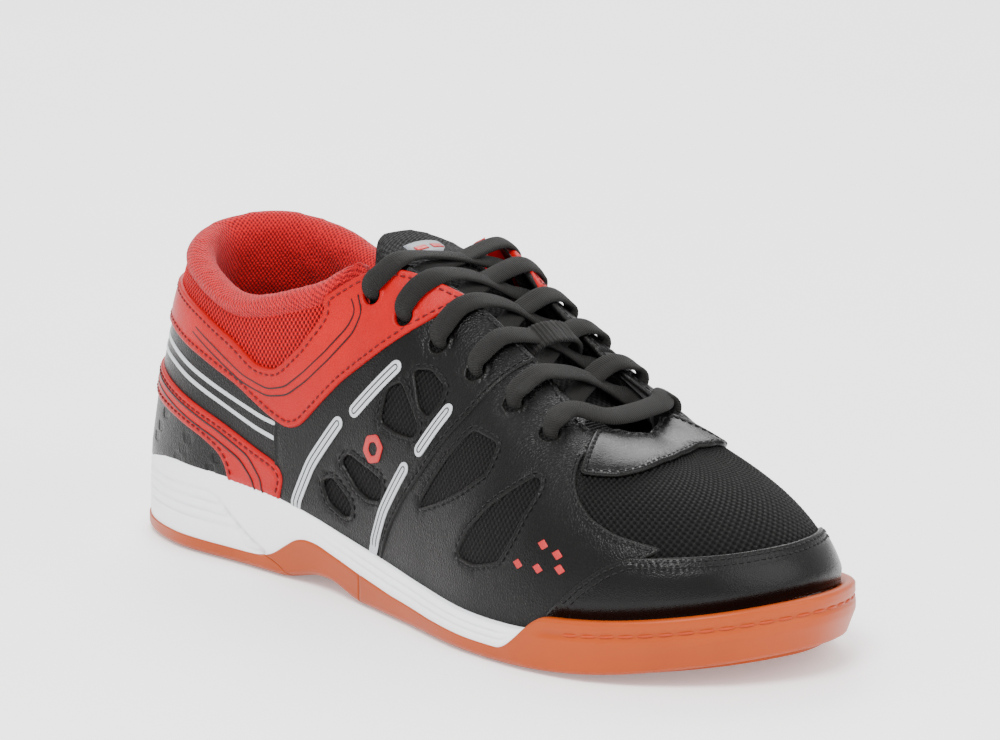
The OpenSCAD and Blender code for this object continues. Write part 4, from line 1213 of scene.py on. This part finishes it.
def make_lace():
    bar = [lace_point((u, v), v, LACE_OVER + d, g) for u, v, d, g in (
        (7.7, 0.732, -0.9, 0.8), (7.72, 0.775, 0, 0), (7.85, 0.88, 0.3, 0), (8.6, 0.96, 1.6, 0),
        (12.6, 0.96, 1.6, 0), (13.25, 0.88, 0.3, 0), (13.34, 0.82, 0, 0), (13.35, 0.79, -0.9, 0.8))]
    points = np.array((lace_half(False) + lace_tail(EYELETS[INNER][0]))[::-1] + bar
                      + lace_half(True) + lace_tail(EYELETS[OUTER][0]))
    keep = np.concatenate([[True], np.linalg.norm(np.diff(points[:, :3], axis=0), axis=1) > 0.4])
    fine = spread(points[keep], 12 * keep.sum())
    run = distances(fine[:, :3])
    at = np.linspace(0, run[-1], int(run[-1] / 0.9))
    fine = rows_at(at, run, fine)
    line = soften(fine[:, :3], 5, False)
    snug = np.clip(soften(fine[:, 6:7], 8, False)[:, 0], 0, 1)
    ahead = unit(np.gradient(line, axis=0))
    toeward = unit(soften(fine[:, 3:6], 6, False))
    wide = unit(toeward - ahead * (toeward * ahead).sum(1, keepdims=True))
    for _ in range(8):
        wide[1:-1] = (wide[:-2] + 2 * wide[1:-1] + wide[2:]) / 4
        wide = unit(wide - ahead * (wide * ahead).sum(1, keepdims=True))
    high = np.cross(ahead, wide)
    sides = 18
    turn = np.linspace(0, TAU, sides, endpoint=False)
    cx = np.sign(np.cos(turn)) * np.abs(np.cos(turn)) ** 0.8
    cy = np.sign(np.sin(turn)) * np.abs(np.sin(turn)) ** 0.8
    slack = 1 + 0.035 * np.sin(at / 7.3) + 0.02 * np.sin(at / 3.1)
    half_w = (LACE_W / 2 * (1 - snug) + 2.45 * snug) * slack
    half_t = LACE_T / 2 * (1 - snug) + 1.5 * snug
    rings = (line[:, None] + wide[:, None] * (cx[None] * half_w[:, None])[..., None]
             + high[:, None] * (cy[None] * half_t[:, None])[..., None])
    faces = [(face[0], *face[:0:-1]) for face in tube_faces(len(line), sides)]
    uv = np.stack(np.broadcast_arrays(at[:, None], cx[None] * LACE_W / 2), -1).reshape(-1, 2)
    piece("lace", rings.reshape(-1, 3), faces, "lace_braid", "shoe", ["lace"], uv)


# ---------------------------------------------------------------- sole

OUTSOLE_T = 5
TOE_SPRING = 9
BUMPER_H = 17
BUMPER = (64, 84)
ARCH_BACK, ARCH_FRONT = -60, -12
TREAD_DEPTH, TREAD_PITCH, TREAD_ZIG, TREAD_HALF_W = 1.5, 12, 6, 1.6
SOLE_JOINT = 0.35  # gap between the heel and the arch wedge
EDGE_H, EDGE_CURL, EDGE_ROWS = 2.6, 5.0, 0.28  # rounding at the floor: height, inward curl, share of rows
GROOVE_DROP, GROOVE_DEPTH, GROOVE_W = 4.4, 0.9, 0.7  # groove round the bumper, under the gum's upper edge
# Height of the gum's upper edge along the shoe, behind the bumper
GUM_EDGE = [(-150, 5.2), (-110, 5.2), (-86, 5), (-72, 5), (-64, 5.2), (-58, 7), (-52, 10.8), (-47, 13.8),
            (-42, 14.8), (-36, 14.4), (-29, 12.8), (-15, 10.2), (6, 7.6), (29, 6), (50, 5.2), (150, 5.2)]
# How far the midsole's top edge drops below the last's foot line, along the shoe
LIP_DROP = [(-150, 0), (-110, -1.5), (-70, -1.5), (-45, 0), (-30, 1.2), (6, 2.3), (29, 3.6), (51, 4.8),
            (70, 6), (150, 6)]


def spring(x):
    return np.where(x > 62, TOE_SPRING * (np.clip(x - 62, 0, None) / 82) ** 2, 0)


def underside(x):
    arch = 3.5 * smooth((x - ARCH_BACK - 4) / 20) * (1 - smooth((x - ARCH_FRONT + 20) / 20))
    return spring(x) + arch


def curve_lookup(table, x):
    """Smoothed lookup in a table of x and height."""
    xs = np.linspace(-150, 150, 601)
    ys = np.interp(xs, *np.array(table, float).T)
    ys = np.convolve(np.pad(ys, 4, "edge"), np.ones(9) / 9, "valid")
    return np.interp(x, xs, ys)


def foot_height(x, side):
    """Height of the line where the upper meets the sole."""
    us = np.linspace(0, 10.9, 400) if side == OUTER else np.linspace(21, 11.1, 400)
    foot = around(LAST, us)
    order = np.argsort(foot[:, 0])
    return np.interp(x, foot[order, 0], foot[order, 2])


def gum_top(x, side):
    rise = (BUMPER_H - OUTSOLE_T) * smooth((x - BUMPER[0]) / (BUMPER[1] - BUMPER[0]))
    return np.minimum(curve_lookup(GUM_EDGE, x) + spring(x) + rise, foot_height(x, side) + 0.8)


TIP_PLACES = np.linspace(9, 12, 3001)
BACK_PLACES = np.linspace(-1.5, 1.5, 3001)
TIP_U = TIP_PLACES[np.argmax(around(SOLE_PLAN, TIP_PLACES)[:, 0])]
BACK_U = BACK_PLACES[np.argmin(around(SOLE_PLAN, BACK_PLACES)[:, 0])]
TIP_X = around(SOLE_PLAN, TIP_U)[0]
BACK_X_SOLE = around(SOLE_PLAN, BACK_U)[0]


def plan_at(x, side, shift):
    """Points of the sole's outline at x on one side, moved inwards by shift."""
    us = np.linspace(BACK_U, TIP_U, 3000) if side == OUTER else np.linspace(BACK_U + STATIONS, TIP_U, 3000)
    outline = around(SOLE_PLAN, us)
    u = np.interp(x, outline[:, 0], us)
    here = around(SOLE_PLAN, u)
    ahead = unit(around(SOLE_PLAN, u + 0.02) - here)
    inward = np.stack([-ahead[:, 1], ahead[:, 0]], -1)
    return here + inward * np.asarray(shift, float)[:, None]


def slices(x0, x1, step, ends=(False, False)):
    """Places along the shoe, closer together where the outline turns round an end."""
    count = int((x1 - x0) / step)
    t = np.linspace(0, 1, count)
    if ends[0] and ends[1]:
        t = (1 - np.cos(math.pi * t)) / 2 * 0.35 + t * 0.65
    turn = x0 + (x1 - x0) * t
    extra = [x0 + 6 * (k / 14) ** 2 for k in range(14)] if ends[0] else []
    extra += [x1 - 6 * (k / 14) ** 2 for k in range(14)] if ends[1] else []
    inner = turn[(turn > x0 + (6 if ends[0] else -1)) & (turn < x1 - (6 if ends[1] else -1))]
    return np.unique(np.concatenate([inner, extra]))


def between(first, second, rows):
    """Even rows of points between two edges."""
    across = np.linspace(0, 1, rows + 2)[1:-1]
    return first + (second - first) * across[None, :, None]


def loft(name, xs, wall, wall_rows, floor_z, floor_rows, roof_drop, roof_rows, material, shear=None,
         tips=(False, False)):
    """Closed solid along the shoe: each slice has an outer wall, a roof, an inner-side wall and a floor."""
    columns = []
    for side in (OUTER, INNER):
        rows = []
        for w in (k / (wall_rows - 1) for k in range(wall_rows)):
            x = xs if shear is None else shear(xs, w)
            shift, z = wall(x, side, w)
            flat = plan_at(np.clip(x, BACK_X_SOLE, TIP_X), side, shift)
            rows.append(np.column_stack([flat, z]))
        columns.append(np.stack(rows, 1))
    outer_wall, inner_wall = columns
    roof = between(outer_wall[:, -1:], inner_wall[:, -1:], roof_rows)
    roof[..., 2] -= roof_drop
    ground = between(inner_wall[:, :1], outer_wall[:, :1], floor_rows)
    ground[..., 2] = floor_z(ground)
    loop = np.concatenate([outer_wall, roof, inner_wall[:, ::-1], ground], 1)
    faces = tube_faces(*loop.shape[:2], not tips[0], not tips[1])
    weld(piece(name, loop.reshape(-1, 3), faces, material, "shoe", [name]))


def weld(obj):
    """Joins points that meet at the tips."""
    work = bmesh.new()
    work.from_mesh(obj.data)
    bmesh.ops.remove_doubles(work, verts=work.verts, dist=0.01 * MM)
    work.to_mesh(obj.data)
    work.free()


def tread(points):
    """Floor of the outsole with its zigzag grooves."""
    x, y = points[..., 0], points[..., 1]
    zig = TREAD_ZIG * np.abs((y / TREAD_ZIG) % 2 - 1)
    grooved = ((x > 0) & (x < 58)) | (x < -78)
    place = (x - 6 + zig + 4) % TREAD_PITCH
    depth = TREAD_DEPTH * smooth((TREAD_HALF_W - np.abs(place - TREAD_PITCH / 2)) / 0.7) * grooved
    return underside(x) + depth


def gum_wall(x, side, w):
    """Inward shift and height of one row of the gum's wall; w runs from the floor to the upper edge."""
    base = underside(x)
    top = gum_top(x, side)
    turn = np.clip(w / EDGE_ROWS, 0, 1)
    curl = EDGE_CURL * (1 - math.sin(turn * math.pi / 2))
    z = base + EDGE_H * (1 - math.cos(turn * math.pi / 2)) if w < EDGE_ROWS else (
        base + EDGE_H + (top - base - EDGE_H) * min(1, (w - EDGE_ROWS) / 0.6))
    lip = np.clip((w - 0.88) / 0.12, 0, 1)
    shift = np.full(len(x), curl + 3.2 * lip)
    groove_z = top - GROOVE_DROP
    deep = smooth((x - BUMPER[1] + 4) / 6) * (w > 0.3) * (w < 0.9)
    shift = shift + GROOVE_DEPTH * np.exp(-(((z - groove_z) / GROOVE_W) ** 2)) * deep
    belly = smooth((x - BUMPER[0]) / 20) * 0.9 * np.exp(-(((z - base - 6) / 5) ** 2))
    z = z + np.where(lip > 0, 0.25 * math.sin(lip * math.pi), 0)
    tuck = 3.2 * smooth((x - 92) / 40) * np.clip(1 - (z - base) / 9, 0, 1)
    return np.maximum(shift - belly * (shift < 2), -0.2) + tuck, z


def heel_seam(w):
    """Place of the curved joint between the heel and the arch wedge."""
    return -62 + 15 * (1 - w) ** 1.4


HEEL_LINES, HEEL_LINE_DEPTH = 4, 0.75  # moulded lines that run down towards the arch
FORE_LINES, FORE_LINE_DEPTH = (0.36, 0.66), 0.7  # lines under the forefoot, as shares of the wall's height


def foam_wall(x, side, w):
    """Inward shift and height of one row of the midsole's wall, with its moulded lines."""
    low = gum_top(x, side) - 2.5
    high = foot_height(x, side) + 0.9 - curve_lookup(LIP_DROP, x)
    rise = np.clip(w / 0.9, 0, 1)
    z = low + (high - low) * rise
    lip = np.clip((w - 0.9) / 0.1, 0, 1)
    belly = 1.2 + 0.8 * np.sin(math.pi * np.clip(rise, 0, 1)) - 0.9 * rise
    hide = 4.6 * smooth((x - BUMPER[0] - 8) / 8)
    shift = 1.4 - 0.6 * belly + 0.5 * smooth((rise - 0.9) / 0.1) + 4.5 * lip + hide
    for k in range(HEEL_LINES):
        level = 21.5 - 3.2 * k
        fall = smooth((x + 92 - 3.5 * k) / 24) ** 1.5
        line = level - (level - 6) * fall
        slope = np.gradient(line, x) if len(x) > 2 else 0
        near = (z - line) / np.sqrt(1 + slope**2) / 0.5
        shift = shift + HEEL_LINE_DEPTH * np.exp(-(near ** 2)) * (x < -62)
    base = gum_top(x, side)
    share = (z - base) / np.maximum(high - base, 1)
    fore = smooth((x + 40) / 30) * (1 - smooth((x - 60) / 16))
    for level in FORE_LINES:
        shift = shift + FORE_LINE_DEPTH * np.exp(-(((share - level) / 0.06) ** 2)) * fore
    return shift, z


def make_sole():
    def heel_shear(xs, w):
        start, end = xs[0], xs[-1]
        return start + (xs - start) * (heel_seam(w) - start) / (end - start)

    def arch_shear(xs, w):
        start, end = xs[0], xs[-1]
        front_of_seam = heel_seam(w) + SOLE_JOINT
        return front_of_seam + (xs - start) * (end - front_of_seam) / (end - start)

    for name, xs, floor_rows, shear, tips in (
            ("outsole_heel", slices(BACK_X_SOLE, -58, 0.9, (True, False)), 50, heel_shear, (True, False)),
            ("arch_wedge", slices(-60, ARCH_FRONT - 0.4, 0.9), 50, arch_shear, (False, False)),
            ("outsole_forefoot", slices(ARCH_FRONT, TIP_X, 0.9, (False, True)), 56, None, (False, True))):
        loft(name, xs, gum_wall, 30, tread, floor_rows, 2.0, 8, "gum_rubber", shear, tips)
    loft("midsole", slices(BACK_X_SOLE, 138, 1.2, (True, True)), foam_wall, 44,
         lambda p: gum_top(p[..., 0], OUTER) - 2.4, 8, 0.0, 10, "white_foam", None, (True, False))
    bumper_thread()


def bumper_thread():
    """Long stitches laid in the groove round the toe bumper."""
    runs = []
    outer_x = TIP_X - (TIP_X - BUMPER[1] - 6) * np.linspace(1, 0, 260) ** 2
    for side in (OUTER, INNER):
        flat = plan_at(outer_x, side, np.full(len(outer_x), 0.55))
        z = gum_top(outer_x, side) - GROOVE_DROP
        runs.append(np.column_stack([flat, z]))
    line = soften(resample(np.vstack([runs[0], runs[1][::-1]]), 0.8, False), 4, False)
    flat_out = unit(np.gradient(line, axis=0))
    out = np.stack([flat_out[:, 1], -flat_out[:, 0], np.zeros(len(line))], -1)
    thread("bumper_stitching", [(line, out)], "gum_thread", pitch=6.0, length=5.4, radius=0.5,
           nodes=["bumper_stitching"])


# ---------------------------------------------------------------- studio

VIEW_AZIMUTH, VIEW_ELEVATION = math.radians(47.3), math.radians(13.5)
VIEW_DISTANCE = 2.0
PIXELS_PER_MM = 3.19
SENSOR = 36
LOOK_AT = Vector((0, 0.003, 0.04))
FRAMING = (0.0044, 0.0301)  # how far the camera stands to the right of and above its line to LOOK_AT


def make_camera():
    data = bpy.data.cameras.new("camera")
    data.sensor_width = SENSOR
    data.lens = PIXELS_PER_MM * VIEW_DISTANCE * SENSOR
    camera = bpy.data.objects.new("camera", data)
    bpy.context.collection.objects.link(camera)
    a, e = VIEW_AZIMUTH, VIEW_ELEVATION
    back = Vector((math.sin(a) * math.cos(e), -math.cos(a) * math.cos(e), math.sin(e)))
    right = Vector((math.cos(a), math.sin(a), 0))
    camera.location = LOOK_AT + back * VIEW_DISTANCE + right * FRAMING[0] + back.cross(right) * FRAMING[1]
    camera.rotation_mode = "QUATERNION"
    camera.rotation_quaternion = (-back).to_track_quat("-Z", "Y")
    bpy.context.scene.camera = camera


def area_light(name, place, size, power, aim=(0, 0, 0.05)):
    data = bpy.data.lights.new(name, "AREA")
    data.shape = "DISK"
    data.size = size
    data.energy = power
    light = bpy.data.objects.new(name, data)
    light.location = place
    light.rotation_mode = "QUATERNION"
    light.rotation_quaternion = (Vector(aim) - Vector(place)).to_track_quat("-Z", "Y")
    bpy.context.collection.objects.link(light)


def make_studio():
    world = bpy.data.worlds.new("studio")
    world.use_nodes = True
    background = world.node_tree.nodes["Background"]
    background.inputs[0].default_value = (1, 1, 1, 1)
    background.inputs[1].default_value = 1.5
    bpy.context.scene.world = world
    area_light("key", (0.45, -0.75, 1.35), 0.8, 30)
    area_light("fill", (1.3, 0.3, 0.8), 1.2, 11)
    area_light("back", (-0.9, 0.8, 1.1), 1.0, 16)
    tree, shader, where = new_finish("floor_paper", rough=0.6)
    tree.links.new(ramp(tree, noise(tree, where, 8.0), 0.3, 0.7, (0.97, 0.97, 0.97), (1.0, 1.0, 1.0)),
                   shader.inputs["Base Color"])
    shader.inputs["Emission Color"].default_value = (1, 1, 1, 1)
    shader.inputs["Emission Strength"].default_value = 0.3
    mesh = bpy.data.meshes.new("floor")
    reach = 6.0
    mesh.from_pydata([(-reach, -reach, 0), (reach, -reach, 0), (reach, reach, 0), (-reach, reach, 0)], [],
                     [(0, 1, 2, 3)])
    mesh.materials.append(materials["floor_paper"])
    floor = bpy.data.objects.new("floor", mesh)
    bpy.context.collection.objects.link(floor)


# ---------------------------------------------------------------- build

make_camera()
make_materials()
make_studio()
finish_cad_nodes()
make_sole()
for side_label, side_sign in SIDES:
    make_side(side_label, side_sign)
make_toe()
WOVEN = (1.9, 2.6)  # pitch of the black mesh along and across
weave_sheet("vamp_weave", (8.1, 12.9), (0.1, 0.99), (330, 150), WOVEN, 0.35, "black_mesh", ["vamp_mesh"])
for side_label, mesh_ends, stay_ends in (("lateral", (3.2, 8.4), (5, 8.4)),
                                         ("medial", (12.6, 17.8), (12.6, 16))):
    weave_sheet(f"side_weave_{side_label}", mesh_ends, (0.0, 0.8), (300, 110), WOVEN, 0.3, "black_mesh",
                [f"side_mesh_{side_label}"])
    weave_sheet(f"eyestay_{side_label}", stay_ends, (0.62, 0.99), (160, 24), (1, 1), -0.2, "black_leather",
                [f"eyestay_{side_label}"], 0)
weave_sheet("collar_weave", (16.6, 25.4), (0.52, 0.93), (620, 70), (1.8, 2.3), 0.75, "red_mesh",
            ["collar_mesh"])
make_collar()
make_tongue()
make_lace()
